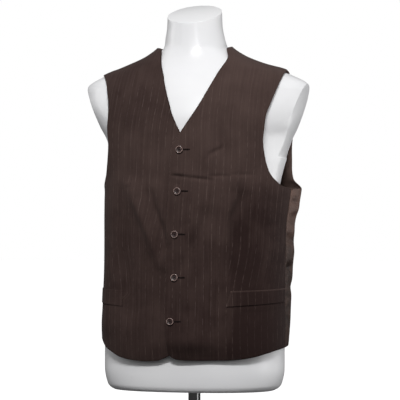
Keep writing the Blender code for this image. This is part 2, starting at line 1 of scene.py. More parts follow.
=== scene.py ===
"""A tailored waistcoat on a limbless counter-top dress form, dressed for the camera.

Metres, +Z up. The wearer faces -Y and the wearer's left is +X. A place on the cloth is given by an
angle round the body, from the front middle towards the wearer's left, and a height above the
torso's flat underside.
"""

import itertools
import math

import bpy
import numpy as np
from mathutils import Matrix, Vector


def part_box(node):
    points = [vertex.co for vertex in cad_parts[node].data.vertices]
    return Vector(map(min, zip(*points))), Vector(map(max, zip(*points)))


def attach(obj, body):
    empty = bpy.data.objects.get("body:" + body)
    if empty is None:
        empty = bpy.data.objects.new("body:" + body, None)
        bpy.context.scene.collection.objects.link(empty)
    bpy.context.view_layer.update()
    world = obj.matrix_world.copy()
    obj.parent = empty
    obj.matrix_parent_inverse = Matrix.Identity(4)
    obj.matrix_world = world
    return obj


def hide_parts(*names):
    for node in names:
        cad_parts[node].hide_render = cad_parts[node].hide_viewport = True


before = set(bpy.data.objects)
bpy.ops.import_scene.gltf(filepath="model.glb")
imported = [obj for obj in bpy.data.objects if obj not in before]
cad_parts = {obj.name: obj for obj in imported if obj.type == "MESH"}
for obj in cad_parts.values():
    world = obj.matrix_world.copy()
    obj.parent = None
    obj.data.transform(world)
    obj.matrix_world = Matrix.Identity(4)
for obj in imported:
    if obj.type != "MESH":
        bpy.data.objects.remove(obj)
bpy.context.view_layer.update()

# Sizes shared with the part
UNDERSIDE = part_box("form_torso")[0].z
FRONT_WALL = 0.0020
BACK_WALL = 0.0013
WELT_WALL = {"left": 0.0018, "right": 0.0010}
WELT_GAP = 0.0005
SEAM_GAP = 0.0002
BUTTON_GAP = 0.0005
LAP_LIFT = 0.0034
LAP_FADES = (34.0, -24.0)  # starts at an angle from the front middle, and is full after a run
SIDE_SEAM = 86.0
LAP_ANGLE = SIDE_SEAM * 2 / 21
CUT_BACK_REACH = 26.0
SHOULDER_SEAM = 93.0
HEM_MIDDLE = 0.075
FOLD_RADIUS = 0.150
NECK_POINT_HEIGHT = 0.701
SHOULDER_TIP_HEIGHT = 0.6535
BACK_NECK_DIP = 0.004
BUTTON_RADIUS = 0.0075
BUTTON_HEIGHTS = (0.485, 0.402, 0.316, 0.230, 0.143)

# How many faces the cloth has
FRONT_COLUMNS = 115
BACK_COLUMNS = 140
SHOULDER_SHARE = 8 / 28
ROWS_BETWEEN = 5
ROWS_ABOVE = 85
EDGE_FACES = 4
HEM_ROWS = (0.00, 0.26, 0.52, 0.76)
ROW_HEIGHTS = (
    0.148, 0.169, 0.19, 0.213, 0.236, 0.259, 0.282, 0.305, 0.328, 0.35, 0.371, 0.391,
)


class Table:
    """Rows of named columns, read as smooth curves over the first column, with no overshoot."""

    def __init__(self, columns, *rows):
        values = np.array(rows, float).T
        self.columns = dict(zip(columns.split(), values))
        self.key = values[0]

    def __call__(self, column, at):
        key, value = self.key, self.columns[column]
        step = np.diff(key)
        rise = np.diff(value) / step
        slope = np.zeros(len(key))
        slope[[0, -1]] = rise[[0, -1]]
        same = rise[:-1] * rise[1:] > 0
        before = np.where(same, rise[:-1], 1.0)
        after = np.where(same, rise[1:], 1.0)
        first, second = 2 * step[1:] + step[:-1], step[1:] + 2 * step[:-1]
        slope[1:-1] = np.where(same, (first + second) / (first / before + second / after), 0.0)
        at = np.clip(np.asarray(at, float), key[0], key[-1])
        i = np.clip(np.searchsorted(key, at, side="right") - 1, 0, len(step) - 1)
        t = (at - key[i]) / step[i]
        s = 1 - t
        ends = value[i] * (1 + 2 * t) * s**2 + value[i + 1] * (1 + 2 * s) * t**2
        return ends + step[i] * (slope[i] * t * s**2 - slope[i + 1] * s * t**2)


TORSO = Table(
    "height half_width front back squareness middle aside",
    (0, 0.166, 0.108, 0.112, 2.3, 0, 0),
    (0.004, 0.1733, 0.113, 0.117, 2.3, 0, 0),
    (0.012, 0.1795, 0.1163, 0.12, 2.3, 0, 0),
    (0.045, 0.1858, 0.118, 0.122, 2.3, 0, 0),
    (0.1, 0.1858, 0.117, 0.122, 2.3, 0, 0),
    (0.17, 0.178, 0.11, 0.108, 2.3, 0.002, 0),
    (0.26, 0.162, 0.104, 0.092, 2.3, 0.004, 0),
    (0.34, 0.165, 0.11, 0.094, 2.3, 0.006, 0),
    (0.4, 0.1725, 0.122, 0.099, 2.3, 0.01, 0),
    (0.43, 0.1765, 0.126, 0.102, 2.25, 0.012, 0.001),
    (0.45, 0.18, 0.13, 0.102, 2.3, 0.014, 0.002),
    (0.466, 0.1835, 0.132, 0.103, 2.3, 0.016, 0.003),
    (0.48, 0.186, 0.1345, 0.102, 2.25, 0.018, 0.004),
    (0.51, 0.1945, 0.1375, 0.1, 2.15, 0.022, 0.006),
    (0.54, 0.216, 0.138, 0.1, 2.1, 0.024, 0.006),
    (0.59, 0.24, 0.1245, 0.099, 2, 0.022, 0.004),
    (0.608, 0.2395, 0.115, 0.095, 2, 0.02, 0.003),
    (0.622, 0.2325, 0.107, 0.092, 2, 0.018, 0.001),
    (0.64, 0.201, 0.0915, 0.089, 2, 0.013, 0),
    (0.66, 0.1423, 0.078, 0.082, 2, 0.012, 0.001),
    (0.68, 0.0932, 0.0688, 0.076, 2, 0.01, 0.001),
    (0.7, 0.0653, 0.0636, 0.071, 2, 0.008, 0.001),
    (0.72, 0.0605, 0.0604, 0.067, 2, 0.006, 0),
    (0.745, 0.0565, 0.058, 0.062, 2, 0.004, 0),
    (0.81, 0.055, 0.057, 0.06, 2, 0.003, 0),
)

CLOTH = Table(
    "height half_width front back squareness middle ease tuck",
    (0.06, 0.1895, 0.1285, 0.134, 2.5, 0, 0, 0),
    (0.08, 0.1907, 0.1335, 0.1375, 2.5, 0, 0, 0.002),
    (0.1, 0.1919, 0.1364, 0.1397, 2.5, 0, 0.001, 0.0035),
    (0.13, 0.1922, 0.1375, 0.141, 2.5, 0, 0.003, 0.003),
    (0.18, 0.1905, 0.1345, 0.139, 2.5, 0, 0.007, 0.0035),
    (0.26, 0.189, 0.132, 0.135, 2.5, 0.001, 0.013, 0.0045),
    (0.335, 0.19, 0.132, 0.13, 2.45, 0.003, 0.016, 0.0045),
    (0.386, 0.194, 0.133, 0.126, 2.4, 0.005, 0.0228, 0.008),
    (0.408, 0.196, 0.133, 0.124, 2.35, 0.006, 0.0248, 0.0095),
    (0.43, 0.2, 0.133, 0.121, 2.3, 0.008, 0.008, 0.009),
    (0.46, 0.208, 0.133, 0.118, 2.25, 0.009, 0.002, 0.006),
    (0.5, 0.223, 0.133, 0.1165, 2.15, 0.01, 0, 0.002),
    (0.54, 0.242, 0.1315, 0.1165, 2.1, 0.012, 0, 0),
    (0.59, 0.255, 0.1222, 0.113, 2, 0.014, 0, 0),
    (0.608, 0.251, 0.1155, 0.108, 2, 0.014, 0, 0),
    (0.625, 0.2345, 0.108, 0.102, 2, 0.014, 0, 0),
    (0.644, 0.201, 0.0975, 0.095, 2, 0.013, 0, 0),
    (0.664, 0.147, 0.088, 0.0875, 2, 0.012, 0, 0),
    (0.684, 0.1005, 0.078, 0.081, 2, 0.01, 0, 0),
    (0.704, 0.0745, 0.0712, 0.0767, 2, 0.008, 0, 0),
    (0.724, 0.067, 0.067, 0.073, 2, 0.006, 0, 0),
)

# Slack under each arm and the tuck at the wearer's right side: angle, spread, column, share
EASE_PLACES = ((104, 18, "ease", 1), (-113, 18, "ease", 0.7), (-84, 26, "tuck", -1))

# How far the front middle is turned round, and how far the front edge is cut back at the hem
TURN = Table(
    "height angle",
    (0.06, -5), (0.143, -5.2), (0.23, -2.6), (0.316, -2.4), (0.402, -0.4), (0.485, 1), (0.52, 1.2),
    (0.556, 2.3), (0.581, 3.7), (0.606, 4.6), (0.632, 5.9), (0.656, 7.6), (0.682, 11.5),
    (0.7, 12.5),
)
CUT_BACK = Table(
    "height angle", (0.06, 6.4), (0.075, 6), (0.093, 5), (0.143, 3.2), (0.19, 1), (0.25, 0)
)
# The cloth's edges
HEM = Table(
    "angle left right",
    (-2.2, 0.0765, 0.08), (-1, 0.073, 0.0778), (3, 0.0672, 0.074), (8, 0.0655, 0.0682),
    (14, 0.0648, 0.0637), (25, 0.0648, 0.0622), (36, 0.0654, 0.0642), (45, 0.0658, 0.0694),
    (53, 0.0678, 0.0795), (60, 0.0717, 0.0876), (67, 0.0773, 0.099), (76, 0.0835, 0.1065),
    (86, 0.0868, 0.1095),
)
BACK_HEM = Table(
    "angle height", (86, 0.0868), (130, 0.095), (180, 0.1), (230, 0.106), (274, 0.1095)
)
FRONT_EDGES = Table(
    "share inner_angle inner_height outer_angle outer_height",
    (0, -LAP_ANGLE, 0.412, 86, 0.408), (0.1, -LAP_ANGLE, 0.426, 78.5, 0.4125),
    (0.2, -LAP_ANGLE, 0.438, 72, 0.4225), (0.3, -LAP_ANGLE, 0.458, 66.2, 0.438),
    (0.4, -7.6, 0.488, 61.4, 0.47), (0.5, 0.2, 0.52, 59, 0.508), (0.6, 9.3, 0.557, 58.7, 0.546),
    (0.7, 18.2, 0.597, 61.3, 0.583), (0.8, 28.9, 0.637, 66.9, 0.617),
    (0.9, 46, 0.6765, 76.5, 0.6395), (0.95, 58.5, 0.6955, 84.6, 0.6468), (1, 93, 0.701, 93, 0.6535),
)
BACK_ARMHOLE = Table(
    "share angle height",
    (0, 86, 0.408), (0.06, 95, 0.4092), (0.12, 102, 0.4118), (0.16, 104.3, 0.4204),
    (0.21, 105.6, 0.433), (0.31, 106.7, 0.459), (0.45, 109.4, 0.5), (0.6, 111.8, 0.545),
    (0.75, 110.6, 0.59), (0.88, 105.5, 0.628), (0.95, 99.8, 0.6435), (1, 93, 0.6535),
)

# Folds and creases run from one angle and height to another, with a width, and a depth that sinks
# the cloth (-) or raises it (+). The folds are wide and soft, and in the solids too.
FOLDS = (
    (-41, 0.414, -14, 0.254, 0.015, 0.0045), (-25, 0.392, -11, 0.292, 0.013, -0.0045),
    (24, 0.352, 3, 0.247, 0.016, -0.004), (46, 0.392, 42, 0.24, 0.021, -0.005),
    (-46, 0.36, -44, 0.25, 0.024, -0.003), (-62, 0.25, -60, 0.13, 0.02, 0.003),
    (-48, 0.27, -38, 0.17, 0.022, -0.003), (88, 0.654, 98, 0.654, 0.0075, 0.01),
    (-88, 0.654, -98, 0.654, 0.0065, 0.005), (93, 0.366, 116, 0.372, 0.01, 0.0015),
    (92, 0.34, 98, 0.338, 0.01, -0.003), (91, 0.31, 99, 0.304, 0.0085, -0.0075),
    (92, 0.28, 114, 0.278, 0.011, 0.0012), (91, 0.252, 98, 0.248, 0.008, -0.0065),
    (96, 0.212, 112, 0.205, 0.011, -0.003), (-94, 0.352, -118, 0.344, 0.011, -0.0055),
    (-96, 0.3, -116, 0.292, 0.01, -0.007), (-95, 0.246, -112, 0.24, 0.0095, -0.0055),
    (146, 0.318, 212, 0.306, 0.014, -0.006), (152, 0.268, 204, 0.262, 0.013, -0.005),
    (138, 0.42, 144, 0.3, 0.016, -0.005), (-140, 0.41, -148, 0.3, 0.016, -0.0045),
    (140, 0.22, 134, 0.12, 0.018, -0.004), (-136, 0.23, -141, 0.13, 0.018, -0.0045),
)
# Creases are finer, and fade out at both ends
CREASES = (
    # chest crease: soft swell, sharp middle, and fainter run on to the side
    (-10, 0.44, 26, 0.429, 0.009, 0.0012), (-7, 0.4338, 9, 0.4296, 0.0034, -0.004),
    (6, 0.43, 30, 0.423, 0.004, -0.0034), (24, 0.432, 42, 0.4325, 0.0036, -0.0022),
    (40, 0.435, 58, 0.4345, 0.004, -0.0018),
    # crumples over the crease and beside the second button
    (21, 0.464, 26, 0.468, 0.004, -0.0012), (23, 0.471, 38, 0.491, 0.004, -0.0044),
    (-3, 0.418, 2, 0.413, 0.0036, -0.001),
    # drag lines at the lower buttons
    (-40, 0.405, -15, 0.26, 0.0085, 0.003), (-25, 0.39, -11, 0.285, 0.007, -0.0036),
    (24, 0.35, 4, 0.25, 0.0085, -0.003), (1, 0.33, 12, 0.342, 0.007, -0.0014),
    (-9, 0.322, -19, 0.34, 0.008, -0.0016), (2, 0.242, 16, 0.268, 0.008, -0.0016),
    (-7, 0.234, -22, 0.248, 0.009, -0.0016), (-1, 0.156, 18, 0.168, 0.007, -0.001),
    # the lower left front swells out and then turns in to its hem
    (-12, 0.101, 34, 0.105, 0.019, 0.0064), (-10, 0.065, 52, 0.064, 0.022, -0.0036),
    # the left front turns to the side in a ridge along its dart, and a hollow behind it
    (44, 0.398, 38, 0.345, 0.0075, 0.0036), (38, 0.36, 38.5, 0.285, 0.0075, 0.0026),
    (52, 0.404, 45.5, 0.345, 0.0095, -0.0062), (45.5, 0.365, 46.5, 0.27, 0.0095, -0.0044),
    # short dashes on the right front
    (-39, 0.39, -31, 0.388, 0.005, -0.0014), (-46, 0.412, -40, 0.409, 0.005, -0.0012),
    (-58, 0.362, -50, 0.35, 0.007, -0.0016), (-66, 0.322, -54, 0.306, 0.008, -0.0016),
    # the left front stands up below its pocket
    (38, 0.1655, 92, 0.1775, 0.0028, 0.0014),
    # side of the left front
    (62, 0.39, 74, 0.374, 0.008, -0.0016), (60, 0.326, 76, 0.342, 0.008, -0.0014),
    (66, 0.264, 80, 0.256, 0.008, -0.0012),
    # satin beside the left side seam
    (88, 0.386, 98, 0.378, 0.0046, -0.0046), (88, 0.356, 103, 0.35, 0.0046, -0.0056),
    (87.5, 0.302, 99, 0.296, 0.0042, -0.005), (87.5, 0.247, 97, 0.243, 0.0036, -0.0044),
    (88, 0.193, 101, 0.185, 0.0046, -0.0026), (89, 0.15, 98, 0.14, 0.006, -0.0014),
    # satin at the right side and across the back
    (-89, 0.38, -103, 0.366, 0.006, -0.0022), (-89, 0.324, -104, 0.318, 0.006, -0.0026),
    (-88, 0.272, -101, 0.268, 0.006, -0.0022), (-88, 0.21, -103, 0.198, 0.007, -0.002),
    (118, 0.47, 138, 0.52, 0.01, -0.0026), (-120, 0.464, -141, 0.51, 0.01, -0.0024),
    (124, 0.34, 142, 0.328, 0.008, -0.0024), (-126, 0.33, -144, 0.322, 0.008, -0.0026),
    (158, 0.35, 176, 0.344, 0.008, -0.002), (186, 0.29, 204, 0.284, 0.008, -0.0022),
    (150, 0.18, 163, 0.124, 0.01, -0.0022), (-152, 0.19, -160, 0.13, 0.01, -0.002),
)

# The front dart, from the pocket to its end, and how much cloth it takes up
DART_FOOT, DART_TOP = 0.200, 0.388
DART = Table("height angle", (DART_FOOT, 39.4), (0.265, 41), (0.325, 43), (DART_TOP, 45.9))
DART_TAKES = Table(
    "height width",
    (0.186, 0.003), (0.199, 0.017), (0.235, 0.011), (0.272, 0.004), (0.3, 0.0005), (DART_TOP, 0),
)
# How far the stripes lean in towards the neck
STRIPE_LEAN = Table(
    "height width",
    (0.5, 0), (0.53, 0.0014), (0.56, 0.003), (0.6, 0.0046), (0.62, 0.005), (0.65, 0.005),
    (0.7, 0.004),
)
# Light painted on the worsted: most on the chest and shoulders, and least, as painted shade, low
# down on the side. Each change starts at one value and is full after its run.
PAINTED_LIGHT_BY_HEIGHT = Table(
    "height share",
    (0.06, 0), (0.15, 0.11), (0.26, 0.3), (0.36, 0.49), (0.44, 0.86), (0.56, 1), (0.7, 1.24),
)
# Painted shade low on the side and on the right shoulder, and painted light at the right hem
LOW_SIDE_ROUND = (36.5, 10.0)
LOW_SIDE_BELOW = (0.438, -0.045)
PAINTED_SHADE_LOW_SIDE = {"left": 0.54, "right": 0.04}
SHOULDER_ABOVE = (0.480, 0.080)
RIGHT_SHOULDER_PAINTED_SHADE = 0.64
HEM_BELOW = (0.220, -0.080)
RIGHT_HEM_PAINTED_LIGHT = 0.30
# Light painted on the satin: uneven beside the left side seam, and even away from it
SATIN_PAINTED_LIGHT = Table(
    "height share",
    (0.08, -0.04), (0.24, 0.02), (0.3, 0.26), (0.345, 0.95), (0.42, 1), (0.52, 0.5), (0.7, 0.4),
)
SATIN_EVEN = 0.42
SATIN_PAINTED_LIGHT_REACH = 26.0
STRIPE_STRAIGHT_BELOW = 0.230
STRIPE_PITCH = 0.0154
FIRST_STRIPE = {"left": 0.0123, "right": 0.0150}

WELT_ANGLES = (42.0, 83.0)
WELT_LOWER = (0.172, 0.180)
WELT_UPPER = (0.2035, 0.2075)
WELT_ENDS_LEAN = 2.0
WELT_COLUMNS, WELT_ROWS = 84, 16
# A welt is cut with the stripes of the cloth below the pocket, and no seam runs over it
BELOW_POCKET = 0.185
CLEAR_OF_SEAMS = 0.010
# A highlight is painted on its top edge and its front end
HIGHLIGHT_TOP = (0.9, 0.05)
HIGHLIGHT_END = (0.035, -0.02)
EDGE_HIGHLIGHT = {"left": 0.8, "right": 0.0}

# The flat cuts of the torso's neck and arms: heights, leans, and each arm's place to the side
NECK_CUT_HEIGHT, NECK_CUT_LEAN = 0.768, 22.0
ARM_CUT_HEIGHT, ARM_CUT_LOWEST = 0.612, 0.474
ARM_CUTS = ((1, 0.2310, 19.6), (-1, 0.2243, 23.5))
TORSO_SIDES = 144

POLE_RADIUS = 0.0125
BASE_LINE = ((0, 0), (0.15, 0), (0.15, 0.01), (0.028, 0.0105), (0.0258, 0.022), (0, 0.022))
# A button's line, from its back over its rim and ring to its front: share of radius, and height
BUTTON_LINE = (
    (0, 0), (0.7, 0), (0.94, 0.0009), (0.99, 0.0015), (1, 0.0019), (0.985, 0.0025), (0.94, 0.003),
    (0.89, 0.0033), (0.84, 0.0034), (0.79, 0.0033), (0.74, 0.003), (0.69, 0.0025), (0.64, 0.0022),
    (0.52, 0.0021), (0, 0.0021),
)


# Camera and lamps

VIEW_TURN = math.radians(14.5)
VIEW_DISTANCE = 4.2
VIEW_HEIGHT = 0.500
AIM_ACROSS = 0.01148
AIM_HEIGHT = 0.5664
METRES_PER_PIXEL = 0.00205
FRAME_PIXELS = 400
SENSOR_WIDTH = 36


def add_aimed(name, data, place, aim):
    """A camera or a lamp, turned to what it looks at."""
    made = bpy.data.objects.new(name, data)
    bpy.context.scene.collection.objects.link(made)
    made.location = place
    made.rotation_mode = "QUATERNION"
    made.rotation_quaternion = (Vector(aim) - Vector(place)).to_track_quat("-Z", "Y")
    return made


def add_camera():
    across = Vector((math.cos(VIEW_TURN), math.sin(VIEW_TURN), 0))
    away = Vector((math.sin(VIEW_TURN), -math.cos(VIEW_TURN), 0))
    aim = across * AIM_ACROSS + Vector((0, 0, AIM_HEIGHT))
    place = aim + away * VIEW_DISTANCE
    place.z = VIEW_HEIGHT
    lens = bpy.data.cameras.new("camera")
    lens.sensor_width = SENSOR_WIDTH
    lens.lens = SENSOR_WIDTH * (aim - place).length / (METRES_PER_PIXEL * FRAME_PIXELS)
    bpy.context.scene.camera = add_aimed("camera", lens, place, aim)


def add_lamp(name, place, aim, size, power):
    light = bpy.data.lights.new(name, "AREA")
    light.shape = "RECTANGLE"
    light.size, light.size_y = size
    light.energy = power
    add_aimed(name, light, place, aim)


# Shader maths

class Number:
    """A number that varies over a surface: arithmetic on it adds the Math nodes."""

    def __init__(self, nodes, socket):
        self.nodes = nodes
        self.socket = socket

    def work(self, operation, *values):
        made = self.nodes.node("ShaderNodeMath", dict(enumerate(values)), operation=operation)
        return Number(self.nodes, made.outputs[0])

    def __add__(self, other):
        return self.work("ADD", self, other)

    def __sub__(self, other):
        return self.work("SUBTRACT", self, other)

    def __rsub__(self, other):
        return self.work("SUBTRACT", other, self)

    def __mul__(self, other):
        return self.work("MULTIPLY", self, other)

    __radd__ = __add__
    __rmul__ = __mul__

    def sine(self):
        return self.work("SINE", self)

    def from_nearest(self, pitch):
        """Distance from the nearest whole multiple of the pitch."""
        return self.work("PINGPONG", self, pitch / 2)

    def step(self, low, high, low_value=0.0, high_value=1.0):
        """A soft step between two values."""
        ends = {"From Min": low, "From Max": high, "To Min": low_value, "To Max": high_value}
        sockets = {"Value": self, **ends}
        made = self.nodes.node("ShaderNodeMapRange", sockets, interpolation_type="SMOOTHSTEP")
        return Number(self.nodes, made.outputs[0])


class Nodes:
    """A tree of nodes, which all come from one method."""

    def __init__(self, owner):
        owner.use_nodes = True
        self.tree = owner.node_tree
        self.tree.nodes.clear()

    def node(self, kind, sockets=(), **settings):
        """Any node: its settings first, then the values or links of its sockets."""
        made = self.tree.nodes.new(kind)
        for key, value in settings.items():
            setattr(made, key, value)
        for key, value in dict(sockets).items():
            self.put(made.inputs[key], value)
        return made

    def put(self, socket, value):
        if isinstance(value, Number):
            value = value.socket
        if isinstance(value, bpy.types.NodeSocket):
            self.tree.links.new(value, socket)
        elif isinstance(value, tuple) and len(value) == 3 and socket.type == "RGBA":
            socket.default_value = (*value, 1.0)
        else:
            socket.default_value = value


class Finish(Nodes):
    """A material worked out by nodes round one Principled shader."""

    def __init__(self, name, **constants):
        self.material = bpy.data.materials.new(name)
        super().__init__(self.material)
        sockets = {key.replace("_", " "): value for key, value in constants.items()}
        self.shader = self.node("ShaderNodeBsdfPrincipled", sockets)
        self.node("ShaderNodeOutputMaterial", {"Surface": self.shader.outputs[0]})

    def set(self, socket, value):
        self.put(self.shader.inputs[socket], value)

    def mark(self, name):
        """A number kept at every point of the piece."""
        made = self.node("ShaderNodeAttribute", attribute_name=name)
        return Number(self, made.outputs["Fac"])

    def place(self):
        return self.node("ShaderNodeTexCoord").outputs["Object"]

    def stretched(self, vector, scale):
        sockets = {0: vector, 1: scale}
        return self.node("ShaderNodeVectorMath", sockets, operation="MULTIPLY").outputs[0]

    def cloud(self, vector, scale, detail=2.0, roughness=0.5):
        """Soft noise from 0 to 1."""
        sockets = {"Vector": vector, "Scale": scale, "Detail": detail, "Roughness": roughness}
        made = self.node("ShaderNodeTexNoise", sockets)
        return Number(self, made.outputs[0])

    def drawn_out(self, x, y, detail=1.0):
        """Soft noise over two numbers at their own scales, such as across and along the cloth."""
        place = self.node("ShaderNodeCombineXYZ", {"X": x, "Y": y}).outputs[0]
        return self.cloud(place, 1.0, detail)

    def mix(self, share, first, second):
        """A colour between two, which the node takes on sockets 6 and 7."""
        made = self.node("ShaderNodeMix", {0: share, 6: first, 7: second}, data_type="RGBA")
        return made.outputs[2]

    def relief(self, height, depth, strength=1.0):
        sockets = {"Height": height, "Distance": depth, "Strength": strength}
        self.set("Normal", self.node("ShaderNodeBump", sockets).outputs[0])


# Finishes

WORSTED_DARK = (0.024, 0.014, 0.0128)
WORSTED_PALE = (0.071, 0.0468, 0.0415)
STRIPE_COLOUR = (0.106, 0.076, 0.068)
SATIN_DARK = (0.0115, 0.0068, 0.0058)
SATIN_PALE = (0.138, 0.083, 0.066)
SATIN_GLEAM = (0.55, 0.36, 0.3)
# The inside faces: a paler copy of the satin colours, with light painted where they lie in shade
LINING_DARK_PAINTED_LIGHT = (0.12, 0.08, 0.068)
LINING_PALE_PAINTED_LIGHT = (0.2, 0.14, 0.12)
RING_HIGHLIGHT_COLOUR = (0.33, 0.225, 0.2)
HORN_COLOUR = (0.026, 0.0125, 0.0115)
THREAD_COLOUR = (0.014, 0.0088, 0.008)
TWILL_PITCH = 0.0008
CROSS_PITCH = TWILL_PITCH * 1.7
# The stripes' dots, how far they wander, and the half width of their core and faint edge
STRIPE_DOTS = 0.0016
STRIPE_WANDER = 0.0014
STRIPE_CORE, STRIPE_EDGE = 0.00030, 0.00080


def shade(colour, share):
    return tuple(part * share for part in colour)


def striped_worsted(side):
    """Dark brown worsted: a fine twill with paler pinstripes of single dotted ends."""
    cloth = Finish(
        "striped_worsted_" + side,
        Roughness=0.92, Sheen_Weight=0.03, Sheen_Roughness=0.45, Specular_IOR_Level=0.04,
    )
    across, along = cloth.mark("across"), cloth.mark("along")
    seam, painted_light = cloth.mark("seam"), cloth.mark("painted_light")
    place = cloth.place()
    mottle = cloth.cloud(place, 22.0, 3.0)
    slub = cloth.drawn_out(across * 2200.0, along * 90.0)
    streak = cloth.drawn_out(across * 260.0, along * 9.0, 2.0)
    uneven = (mottle * 0.5 + slub * 0.1 + streak * 0.4).step(0.28, 0.72)
    # The ground's pale share: random unevenness, plus the painted light and shade of the mark
    ground = cloth.mix(uneven * 0.45 + painted_light * 0.60 - 0.04, WORSTED_DARK, WORSTED_PALE)
    wander = cloth.drawn_out(across * 20.0, along * 34.0)
    aside = across - FIRST_STRIPE[side] + (wander - 0.5) * STRIPE_WANDER
    stripe = aside.from_nearest(STRIPE_PITCH).step(STRIPE_CORE, STRIPE_EDGE, 1.0, 0.0)
    dots = (along * (2 * math.pi / STRIPE_DOTS)).sine() * 0.25 + 0.75
    pale_share = cloth.drawn_out(across * 60.0, along * 90.0, 2.0).step(0.36, 0.64, 0.05, 1.0)
    patchy = cloth.cloud(place, 9.0, 2.0).step(0.34, 0.62, 0.35, 1.0)
    fainter_low = along.step(0.100, 0.420, 0.72, 1.0)
    fainter_at_shoulder = along.step(0.590, 0.665, 1.0, 0.12)
    clear_of_seam = seam.step(0.0012, 0.0022)
    seen = stripe * dots * pale_share * (patchy * fainter_low) * fainter_at_shoulder * clear_of_seam
    cloth.set("Base Color", cloth.mix(seen, ground, STRIPE_COLOUR))
    twill = ((across + along) * (2 * math.pi / TWILL_PITCH)).sine()
    thread = ((across - along) * (2 * math.pi / CROSS_PITCH)).sine()
    weave = twill * 0.5 + thread * 0.2 + slub * 0.6 + stripe * 0.6
    cloth.relief(weave + seam.step(0.0, 0.0016) * 6.0, 0.00009, 0.55)
    return cloth.material


def back_satin(name, dark, pale):
    """Brown satin, with long soft floats, a crushed, uneven shine and painted light, duller at the
    shoulders.
    """
    satin = Finish(
        name, Specular_IOR_Level=0.05, Sheen_Weight=0.05, Sheen_Roughness=0.35,
        Sheen_Tint=SATIN_GLEAM,
    )
    across, along = satin.mark("across"), satin.mark("along")
    crush = satin.cloud(satin.stretched(satin.place(), (1.0, 1.0, 1.7)), 30.0, 4.0, 0.55)
    float_line = satin.drawn_out(across * 900.0, along * 60.0)
    uneven = (crush * 0.7 + float_line * 0.3).step(0.28, 0.72)
    # The share of the pale colour: random unevenness, plus the painted light of the mark
    pale_share = uneven * 0.4 + satin.mark("painted_light") * 0.6 - 0.05
    satin.set("Base Color", satin.mix(pale_share, dark, pale))
    duller = along.step(0.600, 0.680, 0.0, 0.35)
    satin.set("Roughness", crush.step(0.2, 0.8, 0.40, 0.54) + duller)
    seam = satin.mark("seam").step(0.0, 0.0014)
    satin.relief(crush * 6.0 + float_line * 0.25 + seam * 2.0, 0.0009, 0.5)
    return satin.material


def gloss_white():
    """Smooth white moulding with a clear gloss and the faintest unevenness."""
    shell = Finish(
        "gloss_white_shell", Specular_IOR_Level=0.3, Coat_Weight=0.30, Coat_Roughness=0.11
    )
    place = shell.place()
    cast = shell.cloud(place, 9.0, 2.0)
    speck = shell.cloud(place, 260.0, 2.0)
    tone = shell.mix(cast.step(0.3, 0.7), (0.80, 0.80, 0.815), (0.84, 0.84, 0.85))
    shell.set("Base Color", tone)
    shell.set("Roughness", cast.step(0.3, 0.7, 0.28, 0.36))
    shell.relief(cast + speck * 0.05, 0.0008, 0.25)
    return shell.material


def turned_metal(name, colour, roughness, marks):
    """Metal with fine turning marks round it."""
    metal = Finish(name, Metallic=1.0)
    place = metal.place()
    rings = metal.cloud(metal.stretched(place, marks), 1.0, 2.0)
    smudge = metal.cloud(place, 30.0, 3.0)
    metal.set("Base Color", metal.mix(rings * 0.6 + smudge * 0.4, shade(colour, 0.86), colour))
    marked = rings * 0.5 + smudge * 0.5
    metal.set("Roughness", marked.step(0.2, 0.8, roughness * 0.8, roughness * 1.3))
    metal.relief(rings, 0.00008, 0.4)
    return metal.material


def horn():
    """Dark horn with faint streaks, and a highlight painted as a paler ring on its raised rim."""
    made = Finish("horn_painted_rim_highlight", Roughness=0.32, Coat_Weight=0.3, Coat_Roughness=0.15)
    place = made.place()
    ring = made.mark("ring")
    streak = made.cloud(made.stretched(place, (260.0, 260.0, 900.0)), 1.0, 3.0)
    on_ring = ring.step(0.77, 0.82) * ring.step(0.90, 0.945, 1.0, 0.0)
    dark = made.mix(streak, shade(HORN_COLOUR, 0.7), shade(HORN_COLOUR, 1.5))
    # The raised rim's highlight is painted as a paler ring of colour
    pale = made.mix(streak, shade(RING_HIGHLIGHT_COLOUR, 0.72), shade(RING_HIGHLIGHT_COLOUR, 1.15))
    made.set("Base Color", made.mix(on_ring, dark, pale))
    made.set("Roughness", streak.step(0.2, 0.8, 0.26, 0.42))
    made.relief(streak, 0.0001, 0.4)
    return made.material


def thread():
    twist = Finish("silk_twist", Roughness=0.8, Specular_IOR_Level=0.1)
    ply = twist.cloud(twist.place(), 1800.0, 1.0)
    twist.set("Base Color", twist.mix(ply, shade(THREAD_COLOUR, 0.6), THREAD_COLOUR))
    twist.relief(ply, 0.0002, 0.6)
    return twist.material


def studio_floor():
    paper = Finish(
        "floor_paper", Roughness=0.9, Specular_IOR_Level=0.1,
        Emission_Color=(1, 1, 1), Emission_Strength=FLOOR_GLOW,
    )
    grain = paper.cloud(paper.place(), 40.0, 2.0)
    paper.set("Base Color", paper.mix(grain, (0.93, 0.93, 0.93), (0.95, 0.95, 0.95)))
    return paper.material


# Surfaces of the cloth

def section_radius(table, angle, height):
    turn = np.radians(angle)
    across = np.abs(np.sin(turn)) / table("half_width", height)
    depth = np.where(np.cos(turn) > 0, table("front", height), table("back", height))
    along = np.abs(np.cos(turn)) / depth
    power = table("squareness", height)
    return (across**power + along**power) ** (-1 / power)


def section_point(table, angle, height, out=0.0):
    turn = np.radians(angle)
    reach = section_radius(table, angle, height) + out
    x = reach * np.sin(turn)
    y = table("middle", height) - reach * np.cos(turn)
    z = np.broadcast_to(height, np.shape(x)) + UNDERSIDE
    return np.stack([x, y, z], axis=-1)


def angle_between(angle, other):
    return (np.asarray(angle) - other + 180.0) % 360.0 - 180.0


def side_ease(angle, height):
    slack = 0.0
    for place, spread, column, share in EASE_PLACES:
        near = np.exp(-((angle_between(angle, place) / spread) ** 2))
        slack = slack + share * CLOTH(column, height) * near
    return slack


